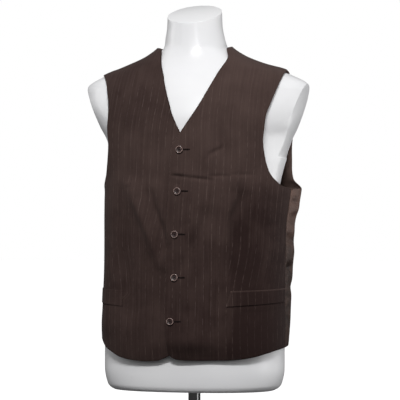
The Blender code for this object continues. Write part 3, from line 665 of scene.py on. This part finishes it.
def fold_relief(angle, height):
    """How far the folds and creases raise or sink the cloth."""
    relief = 0.0
    for rows, fades in ((FOLDS, False), (CREASES, True)):
        for from_angle, from_height, to_angle, to_height, width, depth in rows:
            run = math.radians(to_angle - from_angle) * FOLD_RADIUS
            climb = to_height - from_height
            x = np.radians(angle_between(angle, from_angle)) * FOLD_RADIUS
            y = height - from_height
            share = np.clip((x * run + y * climb) / (run**2 + climb**2), 0.0, 1.0)
            away = np.hypot(x - share * run, y - share * climb)
            taper = 1 - (2 * share - 1) ** 2 if fades else 1.0
            relief = relief + depth * taper * np.exp(-((away / width) ** 2))
    return relief


def smooth_step(value, start, run):
    """From 0 at the start to 1 after the run, which may be negative."""
    t = np.clip((value - start) / run, 0.0, 1.0)
    return t * t * (3 - 2 * t)


def cloth_point(angle, height, lap=False):
    """The outer face of the cloth."""
    out = fold_relief(angle, height) + side_ease(angle, height)
    if lap:
        from_middle = angle_between(angle, TURN("angle", height))
        out = out + LAP_LIFT * smooth_step(from_middle, *LAP_FADES)
    return section_point(CLOTH, angle, height, out)


def cloth_normal(angle, height, lap=False, step=0.0007):
    turn = math.degrees(step / FOLD_RADIUS)
    round_way = cloth_point(angle + turn, height, lap) - cloth_point(angle - turn, height, lap)
    up_way = cloth_point(angle, height + step, lap) - cloth_point(angle, height - step, lap)
    out = np.cross(round_way, up_way)
    return out / np.linalg.norm(out, axis=-1, keepdims=True)


def pair(angle, height):
    return np.stack(np.broadcast_arrays(np.asarray(angle, float), height), axis=-1)


def between_rows(grid, times):
    """More rows, evenly between the grid's own."""
    at = np.arange((grid.shape[1] - 1) * times + 1) / times
    low = np.minimum(at.astype(int), grid.shape[1] - 2)
    share = (at - low)[None, :, None]
    return grid[:, low] * (1 - share) + grid[:, low + 1] * share


def below_underarm(angle, hem, underarm):
    lowest = [hem + share * (ROW_HEIGHTS[0] - hem) for share in HEM_ROWS]
    level = [np.full_like(hem, height) for height in ROW_HEIGHTS]
    height = np.stack([*lowest, *level, underarm], axis=1)
    return between_rows(pair(angle[:, None], height), ROWS_BETWEEN)


def above_underarm(low, high, first, last):
    """Grid filled between its four edges: lower, upper, and its two sides."""
    u = np.linspace(0, 1, len(low))[:, None, None]
    v = np.linspace(0, 1, len(first))[None, :, None]
    low, high = low[:, None], high[:, None]
    first_corners = (1 - v) * low[:1] + v * high[:1]
    last_corners = (1 - v) * low[-1:] + v * high[-1:]
    corners = (1 - u) * first_corners + u * last_corners
    return (1 - v) * low + v * high + (1 - u) * first[None] + u * last[None] - corners


def cut_back(angle, height):
    fade = np.clip(1 - (angle + LAP_ANGLE) / CUT_BACK_REACH, 0.0, 1.0)
    return CUT_BACK("angle", height) * fade


def round_front(side, angle, height):
    """Angles round the body from those of a left front: mirrored for the right, and turned."""
    if side == "right":
        angle = -angle
    fade = np.clip(1 - (np.abs(angle) / SIDE_SEAM) ** 3, 0.0, 1.0)
    return angle + TURN("angle", height) * fade


def front_grid(side):
    """Angles and heights of a front, from its front edge round and from its hem up."""
    angle = np.linspace(-LAP_ANGLE, SIDE_SEAM, FRONT_COLUMNS + 1)
    hem = HEM(side, angle + cut_back(angle, HEM_MIDDLE))
    ends = [FRONT_EDGES(name, 0.0) for name in ("inner_height", "outer_height")]
    lower = below_underarm(angle, hem, np.linspace(*ends, FRONT_COLUMNS + 1))
    share = np.linspace(0, 1, ROWS_ABOVE + 1)
    v_edge = pair(FRONT_EDGES("inner_angle", share), FRONT_EDGES("inner_height", share))
    armhole = pair(FRONT_EDGES("outer_angle", share), FRONT_EDGES("outer_height", share))
    tip = np.linspace(NECK_POINT_HEIGHT, SHOULDER_TIP_HEIGHT, FRONT_COLUMNS + 1)
    upper = above_underarm(lower[:, -1], pair(SHOULDER_SEAM, tip), v_edge, armhole)
    grid = np.concatenate([lower, upper[:, 1:]], axis=1)
    angle, height = grid[..., 0], grid[..., 1]
    return round_front(side, angle + cut_back(angle, height), height), height


def shoulders_and_neck(share):
    from_tip = np.clip(np.minimum(share, 1 - share) / SHOULDER_SHARE, 0.0, 1.0)
    round_neck = np.clip((share - SHOULDER_SHARE) / (1 - 2 * SHOULDER_SHARE), 0.0, 1.0)
    angle = SHOULDER_SEAM + round_neck * (360 - 2 * SHOULDER_SEAM)
    dip = BACK_NECK_DIP * np.sin(math.pi * round_neck)
    height = SHOULDER_TIP_HEIGHT + from_tip * (NECK_POINT_HEIGHT - SHOULDER_TIP_HEIGHT)
    return pair(angle, height - dip)


def back_grid():
    """Angles and heights of the back, from the left side seam round to the right one."""
    share = np.linspace(0, 1, BACK_COLUMNS + 1)
    angle = SIDE_SEAM + share * (360 - 2 * SIDE_SEAM)
    underarm = np.full(len(angle), BACK_ARMHOLE("height", 0.0))
    lower = below_underarm(angle, BACK_HEM("height", angle), underarm)
    rise = np.linspace(0, 1, ROWS_ABOVE + 1)
    left = pair(BACK_ARMHOLE("angle", rise), BACK_ARMHOLE("height", rise))
    right = left * (-1, 1) + (360, 0)
    upper = above_underarm(lower[:, -1], shoulders_and_neck(share), left, right)
    grid = np.concatenate([lower, upper[:, 1:]], axis=1)
    angle, height = grid[..., 0], grid[..., 1]
    joined = np.zeros(angle.shape)
    joined[0, : lower.shape[1]] = 1
    joined[: int(BACK_COLUMNS * SHOULDER_SHARE) + 1, -1] = 1
    joined = joined - joined[::-1]
    return angle + joined * np.degrees(SEAM_GAP / section_radius(CLOTH, angle, height)), height


def arc_from(middle, angle, height, steps=48):
    """Distance round the cloth from one angle to another, at each height."""
    share = np.linspace(0, 1, steps + 1)
    at = middle[..., None] + (angle - middle)[..., None] * share
    level = np.broadcast_to(np.asarray(height)[..., None], at.shape)
    line = section_point(CLOTH, at, level, side_ease(at, level))
    length = np.linalg.norm(np.diff(line, axis=-2), axis=-1).sum(-1)
    return np.sign(angle - middle) * length


def front_marks(side, angle, height):
    """Where each point of a front lies: across and along the stripes, and away from the dart."""
    straight = np.maximum(height, STRIPE_STRAIGHT_BELOW)
    middle = np.asarray(TURN("angle", straight))
    way = 1.0 if side == "left" else -1.0
    past_dart = way * angle - DART("angle", height)
    taken_up = np.where((past_dart > 0) & (height < DART_TOP), DART_TAKES("width", height), 0.0)
    across = way * arc_from(middle, angle, height) + STRIPE_LEAN("width", height) + taken_up
    from_dart = np.abs(np.radians(past_dart)) * FOLD_RADIUS
    from_dart = from_dart + np.maximum(0.0, height - DART_TOP) + np.maximum(0.0, DART_FOOT - height)
    # Light painted by height, with painted shade low on the side and on the right shoulder, and
    # painted light at the right hem
    low_side = smooth_step(way * angle, *LOW_SIDE_ROUND) * smooth_step(height, *LOW_SIDE_BELOW)
    painted_light = PAINTED_LIGHT_BY_HEIGHT("share", height) - PAINTED_SHADE_LOW_SIDE[side] * low_side
    if side == "right":
        painted_light = painted_light - RIGHT_SHOULDER_PAINTED_SHADE * smooth_step(height, *SHOULDER_ABOVE)
        painted_light = painted_light + RIGHT_HEM_PAINTED_LIGHT * smooth_step(height, *HEM_BELOW)
    return {"across": across, "along": height, "seam": from_dart, "painted_light": painted_light}


def back_marks(angle, height):
    middle = np.full(angle.shape, 180.0)
    across = arc_from(middle, angle, height)
    # Light painted on the satin: uneven beside the left side seam, even away from it
    by_side_seam = np.exp(-(((angle - SIDE_SEAM) / SATIN_PAINTED_LIGHT_REACH) ** 2))
    painted_light = SATIN_EVEN + (SATIN_PAINTED_LIGHT("share", height) - SATIN_EVEN) * by_side_seam
    return {"across": across, "along": height, "seam": np.abs(across), "painted_light": painted_light}


# Mesh making

def add_mesh(name, points, faces, materials, marks=None, face_finish=None):
    mesh = bpy.data.meshes.new(name)
    mesh.from_pydata([tuple(p) for p in points], [], faces)
    for material in materials:
        mesh.materials.append(material)
    if face_finish is not None:
        mesh.polygons.foreach_set("material_index", face_finish)
    for key, values in (marks or {}).items():
        kept = mesh.attributes.new(key, "FLOAT", "POINT")
        kept.data.foreach_set("value", np.asarray(values, np.float32))
    mesh.update()
    mesh.shade_smooth()
    made = bpy.data.objects.new(name, mesh)
    bpy.context.scene.collection.objects.link(made)
    return made


def settle(made, slot, *nodes):
    """Fix a finished piece in the frame, for the nodes that it replaces."""
    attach(made, "root")
    if nodes:
        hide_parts(*nodes)
    return made


def ringed(count, sides, first=0):
    """The numbers of the points of rings, each closed by its first point."""
    index = first + np.arange(count * sides).reshape(count, sides)
    return np.concatenate([index, index[:, :1]], axis=1)


def quads(index):
    a, b, c, d = index[:-1, :-1], index[1:, :-1], index[1:, 1:], index[:-1, 1:]
    return np.stack([a, b, c, d], axis=-1).reshape(-1, 4)


def add_cloth(name, angle, height, lap, lift, wall, marks, outside, inside):
    """A thin closed shell of cloth with a soft turned edge all round."""
    out = cloth_normal(angle, height, lap)
    outer = cloth_point(angle, height, lap) + out * lift
    index = np.arange(angle.size).reshape(angle.shape)
    ring = np.concatenate([index[:, 0], index[-1, 1:], index[-2::-1, -1], index[0, -2:0:-1]])
    points, normals = outer.reshape(-1, 3).copy(), out.reshape(-1, 3)
    edge, edge_out = points[ring], normals[ring]
    tangent = np.roll(edge, -1, 0) - np.roll(edge, 1, 0)
    beyond = np.cross(tangent, edge_out)
    beyond /= np.linalg.norm(beyond, axis=-1, keepdims=True)
    faces_out = quads(index)
    turned_over = ((edge - points.mean(0)) * beyond).sum() < 0
    if turned_over:
        beyond = -beyond
        faces_out = faces_out[:, ::-1]
    half = wall / 2
    points[ring] = edge - beyond * half
    inner = points - normals * wall
    middle = points[ring] - edge_out * half
    rings = [ring]
    extra = []
    count = 2 * len(points)
    for k in range(1, EDGE_FACES):
        turn = math.pi * k / EDGE_FACES
        extra.append(middle + beyond * half * math.sin(turn) + edge_out * half * math.cos(turn))
        rings.append(count + np.arange(len(ring)))
        count += len(ring)
    rings.append(ring + len(points))
    rim = np.concatenate([
        np.stack([np.roll(first, -1), first, second, np.roll(second, -1)], axis=-1)
        for first, second in zip(rings, rings[1:])
    ])
    if turned_over:
        rim = rim[:, ::-1]
    faces = np.concatenate([faces_out, rim, faces_out[:, ::-1] + len(points)])
    finish = np.zeros(len(faces), np.int32)
    finish[len(faces_out) + len(rim):] = 1
    all_points = np.concatenate([points, inner, *extra])
    all_marks = {}
    for key, values in marks.items():
        flat = np.asarray(values, float).reshape(-1)
        all_marks[key] = np.concatenate([flat, flat] + [flat[ring]] * (EDGE_FACES - 1))
    return add_mesh(name, all_points, faces.tolist(), [outside, inside], all_marks, finish)


def turned(name, profile, sides, sharp, finish, marks=None):
    """A round piece from a profile of (radius, height) that starts and ends on the axis."""
    rings = np.array(profile[1:-1])
    turn = 2 * math.pi * np.arange(sides) / sides
    x, y = rings[:, :1] * np.cos(turn), rings[:, :1] * np.sin(turn)
    body = np.stack([x, y, np.repeat(rings[:, 1:], sides, 1)], axis=-1).reshape(-1, 3)
    points = np.concatenate([[(0, 0, profile[0][1])], body, [(0, 0, profile[-1][1])]])
    index = ringed(len(rings), sides, 1)
    faces = quads(index.T).tolist()
    for k in range(sides):
        faces.append([0, index[0, k + 1], index[0, k]])
        faces.append([len(points) - 1, index[-1, k], index[-1, k + 1]])
    kept = {}
    for key, values in (marks or {}).items():
        kept[key] = [values[0], *np.repeat(values[1:-1], sides), values[-1]]
    made = add_mesh(name, points, faces, [finish], kept)
    made.data.set_sharp_from_angle(angle=math.radians(sharp))
    return made


def rounded_profile(corners, radius, steps=5):
    """A profile with each inner corner rounded, for (radius, height) corners."""
    line = [corners[0]]
    for before, at, after in zip(corners, corners[1:], corners[2:]):
        here = np.array(at, float)
        to_before, to_after = np.array(before) - here, np.array(after) - here
        reach = min(radius, 0.45 * np.linalg.norm(to_before), 0.45 * np.linalg.norm(to_after))
        start = here + to_before / np.linalg.norm(to_before) * reach
        end = here + to_after / np.linalg.norm(to_after) * reach
        for k in range(steps + 1):
            t = k / steps
            line.append(tuple((1 - t) ** 2 * start + 2 * t * (1 - t) * here + t**2 * end))
    return line + [corners[-1]]


def tube(path, radius, sides=6, closed=False):
    """Points and faces of a tube along a path, with one radius or one at each point."""
    tangent = np.roll(path, -1, 0) - np.roll(path, 1, 0) if closed else np.gradient(path, axis=0)
    tangent /= np.linalg.norm(tangent, axis=-1, keepdims=True)
    side = np.cross(tangent, (0.013, 0.07, 1.0))
    side /= np.linalg.norm(side, axis=-1, keepdims=True)
    top = np.cross(side, tangent)
    turn = 2 * math.pi * np.arange(sides) / sides
    count = len(path)
    rings = path[:, None] + np.broadcast_to(radius, count)[:, None, None] * (
        side[:, None] * np.cos(turn)[:, None] + top[:, None] * np.sin(turn)[:, None]
    )
    index = ringed(count, sides)
    if closed:
        return rings.reshape(-1, 3), quads(np.concatenate([index, index[:1]])).tolist()
    ends = [index[0, :-1].tolist(), index[-1, -2::-1].tolist()]
    return rings.reshape(-1, 3), quads(index).tolist() + ends


def add_thread(name, tubes, silk, stand=Matrix()):
    """One piece of thread from several tubes, put where it belongs."""
    points, faces, count = [], [], 0
    for own_points, own_faces in tubes:
        points.append(own_points)
        faces += [[count + k for k in face] for face in own_faces]
        count += len(own_points)
    made = add_mesh(name, np.concatenate(points), faces, [silk])
    made.data.transform(stand)
    settle(made, "worsted")


# Pieces

def make_front(side, worsted, painted_light_inside):
    angle, height = front_grid(side)
    marks = front_marks(side, angle, height)
    made = add_cloth(
        side + "_front", angle, height, side == "left", 0.0, FRONT_WALL, marks, worsted, painted_light_inside
    )
    return settle(made, "worsted", "front_" + side)


def make_welt(side, worsted):
    """A welt pocket: a doubled strip that lies on the front, its ends leaning a little."""
    foot = np.linspace(*WELT_ANGLES, WELT_COLUMNS + 1)[:, None]
    share = (foot - WELT_ANGLES[0]) / (WELT_ANGLES[1] - WELT_ANGLES[0])
    rise = np.linspace(0, 1, WELT_ROWS + 1)[None, :]
    lower = WELT_LOWER[0] + share * (WELT_LOWER[1] - WELT_LOWER[0])
    upper = WELT_UPPER[0] + share * (WELT_UPPER[1] - WELT_UPPER[0])
    height = lower + (upper - lower) * rise
    angle = round_front(side, foot + WELT_ENDS_LEAN * rise, height)
    marks = front_marks(side, angle, np.full(angle.shape, BELOW_POCKET))
    marks["along"], marks["seam"] = height, np.full(angle.shape, CLEAR_OF_SEAMS)
    # A highlight painted along the welt's top edge and front end, added to its painted light
    pale_share = smooth_step(rise, *HIGHLIGHT_TOP) + 0.5 * smooth_step(share, *HIGHLIGHT_END)
    marks["painted_light"] = marks["painted_light"] + EDGE_HIGHLIGHT[side] * pale_share
    wall, lap = WELT_WALL[side], side == "left"
    made = add_cloth(
        side + "_welt", angle, height, lap, WELT_GAP + wall, wall, marks, worsted, worsted
    )
    return settle(made, "worsted", "welt_" + side)


def make_back(satin, painted_light_inside):
    angle, height = back_grid()
    marks = back_marks(angle, height)
    made = add_cloth("back_panel", angle, height, False, 0.0, BACK_WALL, marks, satin, painted_light_inside)
    return settle(made, "satin", "back")


def make_torso():
    """The torso with its neck and arms cut off flat, and the cut edges eased."""
    heights = []
    for low, high in zip(TORSO.key, TORSO.key[1:]):
        rows = 6 if high > 0.02 else 4  # the underside's rows are close already
        heights += np.linspace(low, high, rows + 1)[:-1].tolist()
    heights = np.array([*heights, TORSO.key[-1]])
    angles = np.arange(TORSO_SIDES) * 360.0 / TORSO_SIDES
    rings = section_point(TORSO, angles[None, :], heights[:, None])
    rings[..., 0] += TORSO("aside", heights)[:, None]
    index = ringed(len(heights), TORSO_SIDES)
    ends = [index[0, -2::-1].tolist(), index[-1, :-1].tolist()]
    faces = quads(index.T).tolist() + ends
    torso = add_mesh("torso", rings.reshape(-1, 3), faces, [gloss_white()])
    far = 0.4  # well past the torso
    neck = Vector((0, float(TORSO("middle", NECK_CUT_HEIGHT)), UNDERSIDE + NECK_CUT_HEIGHT))
    cutters = [add_cutter(neck, NECK_CUT_LEAN, "X", (-far, -far, 0), (far, far, far))]
    for way, aside, lean in ARM_CUTS:
        place = Vector((way * aside, 0, UNDERSIDE + ARM_CUT_HEIGHT))
        foot = (ARM_CUT_LOWEST - ARM_CUT_HEIGHT) / math.cos(math.radians(lean))
        inner, outer = sorted((0.0, way * far))
        low, high = (inner, -far, foot), (outer, far, far)
        cutters.append(add_cutter(place, way * lean, "Y", low, high))
    for cutter in cutters:
        cut = torso.modifiers.new("cut", "BOOLEAN")
        cut.operation = "DIFFERENCE"
        cut.object = cutter
    ease = torso.modifiers.new("ease", "BEVEL")
    ease.width = 0.0022
    ease.segments = 3
    ease.limit_method = "ANGLE"
    ease.angle_limit = math.radians(35)
    shaped = torso.evaluated_get(bpy.context.evaluated_depsgraph_get())
    torso.data = bpy.data.meshes.new_from_object(shaped)
    torso.modifiers.clear()
    for cutter in cutters:
        bpy.data.objects.remove(cutter, do_unlink=True)
    torso.data.shade_smooth()
    torso.data.set_sharp_from_angle(angle=math.radians(40))
    settle(torso, "gloss_white", "form_torso")


def add_cutter(centre, lean, axis, low, high):
    """A block from one corner to the other, which then leans about the centre."""
    points = list(itertools.product(*zip(low, high)))
    faces = [(0, 1, 3, 2), (4, 6, 7, 5), (0, 4, 5, 1), (2, 3, 7, 6), (0, 2, 6, 4), (1, 5, 7, 3)]
    made = add_mesh("cutter", points, faces, [])
    made.matrix_world = Matrix.Translation(centre) @ Matrix.Rotation(math.radians(lean), 4, axis)
    return made


def make_stand():
    steel = turned_metal("brushed_base_steel", (0.50, 0.50, 0.51), 0.32, (20, 20, 20))
    chrome = turned_metal("polished_chrome", (0.24, 0.24, 0.24), 0.12, (30, 30, 900))
    base = turned("stand_base", rounded_profile(BASE_LINE, 0.003), 128, 50, steel)
    settle(base, "brushed_steel", "base")
    foot, top = (corner.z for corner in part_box("pole"))
    corners = [(0.0, foot), (POLE_RADIUS, foot), (POLE_RADIUS, top), (0.0, top)]
    pole = turned("stand_pole", rounded_profile(corners, 0.0008), 64, 50, chrome)
    settle(pole, "chrome", "pole")


def make_buttons():
    """Five four-hole buttons down the left front, each sewn on with a cross of thread."""
    profile = [(share * BUTTON_RADIUS, height) for share, height in BUTTON_LINE]
    marks = {"ring": [share for share, _ in BUTTON_LINE]}
    dark_horn, silk = horn(), thread()
    for number, height in enumerate(BUTTON_HEIGHTS, start=1):
        angle = float(TURN("angle", height))
        place = cloth_point(angle, height, True)
        out = Vector(cloth_normal(angle, height, True))
        foot = Matrix.Translation(Vector(place) + out * BUTTON_GAP)
        stand = foot @ out.to_track_quat("Z", "Y").to_matrix().to_4x4()
        made = turned("horn_button_%d" % number, profile, 56, 60, dark_horn, marks)
        made.data.transform(stand)
        settle(made, "horn", "button_%d" % number)
        sew_on(number, stand, silk)
        make_buttonhole(number, angle, height, silk)


def sew_on(number, stand, silk):
    """Two crossed stitches over the button's four holes; dark rings paint the holes' shade."""
    spread, top = 0.0013, 0.0021
    strand, strand_aside, arch, under = 0.00023, 0.00022, 0.0005, 0.0002
    hole, rim, rim_lift = 0.00055, 0.00014, 0.00002
    tubes = []
    across = np.linspace(-1, 1, 13)
    for corner in ((1, 1), (1, -1)):
        way = np.array(corner) / math.sqrt(2)
        crossing = under if corner[1] > 0 else 0.0
        for shift in (-strand_aside, strand_aside):
            side = np.array((-way[1], way[0])) * shift
            x = across * spread * way[0] + side[0]
            y = across * spread * way[1] + side[1]
            z = top + arch * (1 - across**4) - under + crossing
            tubes.append(tube(np.stack([x, y, z], -1), strand))
    # Dark rings of thread at the holes: painted shade for holes the button doesn't have
    turn = np.linspace(0, 2 * math.pi, 17)[:-1]
    for corner in itertools.product((1, -1), repeat=2):
        x, y = np.array(corner) * spread / math.sqrt(2)
        level = np.full(16, top + rim_lift)
        circle = np.stack([x + hole * np.cos(turn), y + hole * np.sin(turn), level], -1)
        tubes.append(tube(circle, rim, closed=True))
    add_thread("button_thread_%d" % number, tubes, silk, stand)


def make_buttonhole(number, angle, height, silk):
    """A worked buttonhole: a ridge of close stitches round a dark tube that paints the slit's
    shade.
    """
    start, length, half_width, stitches = 0.0025, 0.0185, 0.00115, 64
    ridge, ridge_lift, slit, slit_lift, slit_inset = 0.00042, 0.00018, 0.0007, 0.00005, 0.0008
    radius = float(section_radius(CLOTH, angle, height))

    def on_front(x, y, lift):
        """Points round from the button and up from it, lifted off the cloth."""
        angles, heights = angle + np.degrees(x / radius), height + y
        return cloth_point(angles, heights, True) + cloth_normal(angles, heights, True) * lift

    turn = np.linspace(0, 2 * math.pi, stitches * 4 + 1)[:-1]
    # two straight sides and two blunt ends
    x = start + length / 2 + (length / 2 - half_width) * np.clip(1.35 * np.cos(turn), -1, 1)
    x = x + half_width * np.clip((np.abs(np.cos(turn)) - 0.74) / 0.26, 0, 1) * np.sign(np.cos(turn))
    y = half_width * np.clip(np.abs(np.sin(turn)) * 1.5, 0, 1) * np.sign(np.sin(turn))
    stitched = ridge * (1 + 0.22 * np.sin(turn * stitches))
    # The slit is a dark tube of thread: painted shade in the cut
    slit_x = np.linspace(start + slit_inset, start + length - slit_inset, 24)
    tubes = [
        tube(on_front(x, y, ridge_lift), stitched, closed=True),
        tube(on_front(slit_x, np.zeros(24), slit_lift), slit),
    ]
    add_thread("buttonhole_%d" % number, tubes, silk)


# The room's light grows from below to above, and it is seen as plain white
ROOM_LIGHT = {"From Min": -0.15, "From Max": 0.8, "To Min": 0.06, "To Max": 0.50}
FLOOR_GLOW = 0.66
# Name, place, aim, width and height, power
LAMPS = (
    ("softbox", (0.36, -2.3, 2.2), (0, 0, 0.6), (1.1, 0.28), 55),
    ("strip", (0.72, -2.05, 1.5), (0, 0, 0.85), (0.16, 1.2), 4.6),
    ("side_right", (1.9, -0.3, 0.45), (0, 0, 0.7), (0.7, 0.9), 3.6),
    ("arm_right", (0.85, 0.34, 0.54), (0.2, 0, 0.78), (0.7, 0.6), 3.6),
    ("side_left", (-2, -0.2, 1), (0, 0, 0.7), (0.6, 1.2), 6),
)


def set_the_stage():
    far = 30
    corners = [(-far, -far, 0), (far, -far, 0), (far, far, 0), (-far, far, 0)]
    floor = add_mesh("floor", corners, [[0, 1, 2, 3]], [studio_floor()])
    floor.visible_diffuse = False
    floor.visible_glossy = False
    for lamp in LAMPS:
        add_lamp(*lamp)
    world = bpy.data.worlds.new("studio")
    bpy.context.scene.world = world
    studio = Nodes(world)
    way = studio.node("ShaderNodeTexCoord").outputs["Generated"]
    up = studio.node("ShaderNodeSeparateXYZ", {0: way}).outputs["Z"]
    strength = studio.node("ShaderNodeMapRange", {"Value": up, **ROOM_LIGHT}).outputs[0]
    white = {"Color": (1, 1, 1)}
    room = studio.node("ShaderNodeBackground", {**white, "Strength": strength}).outputs[0]
    seen = studio.node("ShaderNodeBackground", {**white, "Strength": 1.0}).outputs[0]
    to_camera = studio.node("ShaderNodeLightPath").outputs["Is Camera Ray"]
    chosen = studio.node("ShaderNodeMixShader", {0: to_camera, 1: room, 2: seen}).outputs[0]
    studio.node("ShaderNodeOutputWorld", {"Surface": chosen})
    bpy.context.scene.view_settings.view_transform = "Standard"


def main():
    add_camera()
    sides = ("left", "right")
    worsted = {side: striped_worsted(side) for side in sides}
    # The inside faces get a paler copy of the satin: painted light where they lie in shade
    painted_light_inside = back_satin("satin_inside_painted_light", LINING_DARK_PAINTED_LIGHT, LINING_PALE_PAINTED_LIGHT)
    make_torso()
    make_stand()
    back = make_back(back_satin("back_satin", SATIN_DARK, SATIN_PALE), painted_light_inside)
    fronts = {side: make_front(side, worsted[side], painted_light_inside) for side in sides}
    welts = {side: make_welt(side, worsted[side]) for side in sides}
    make_buttons()
    set_the_stage()


main()
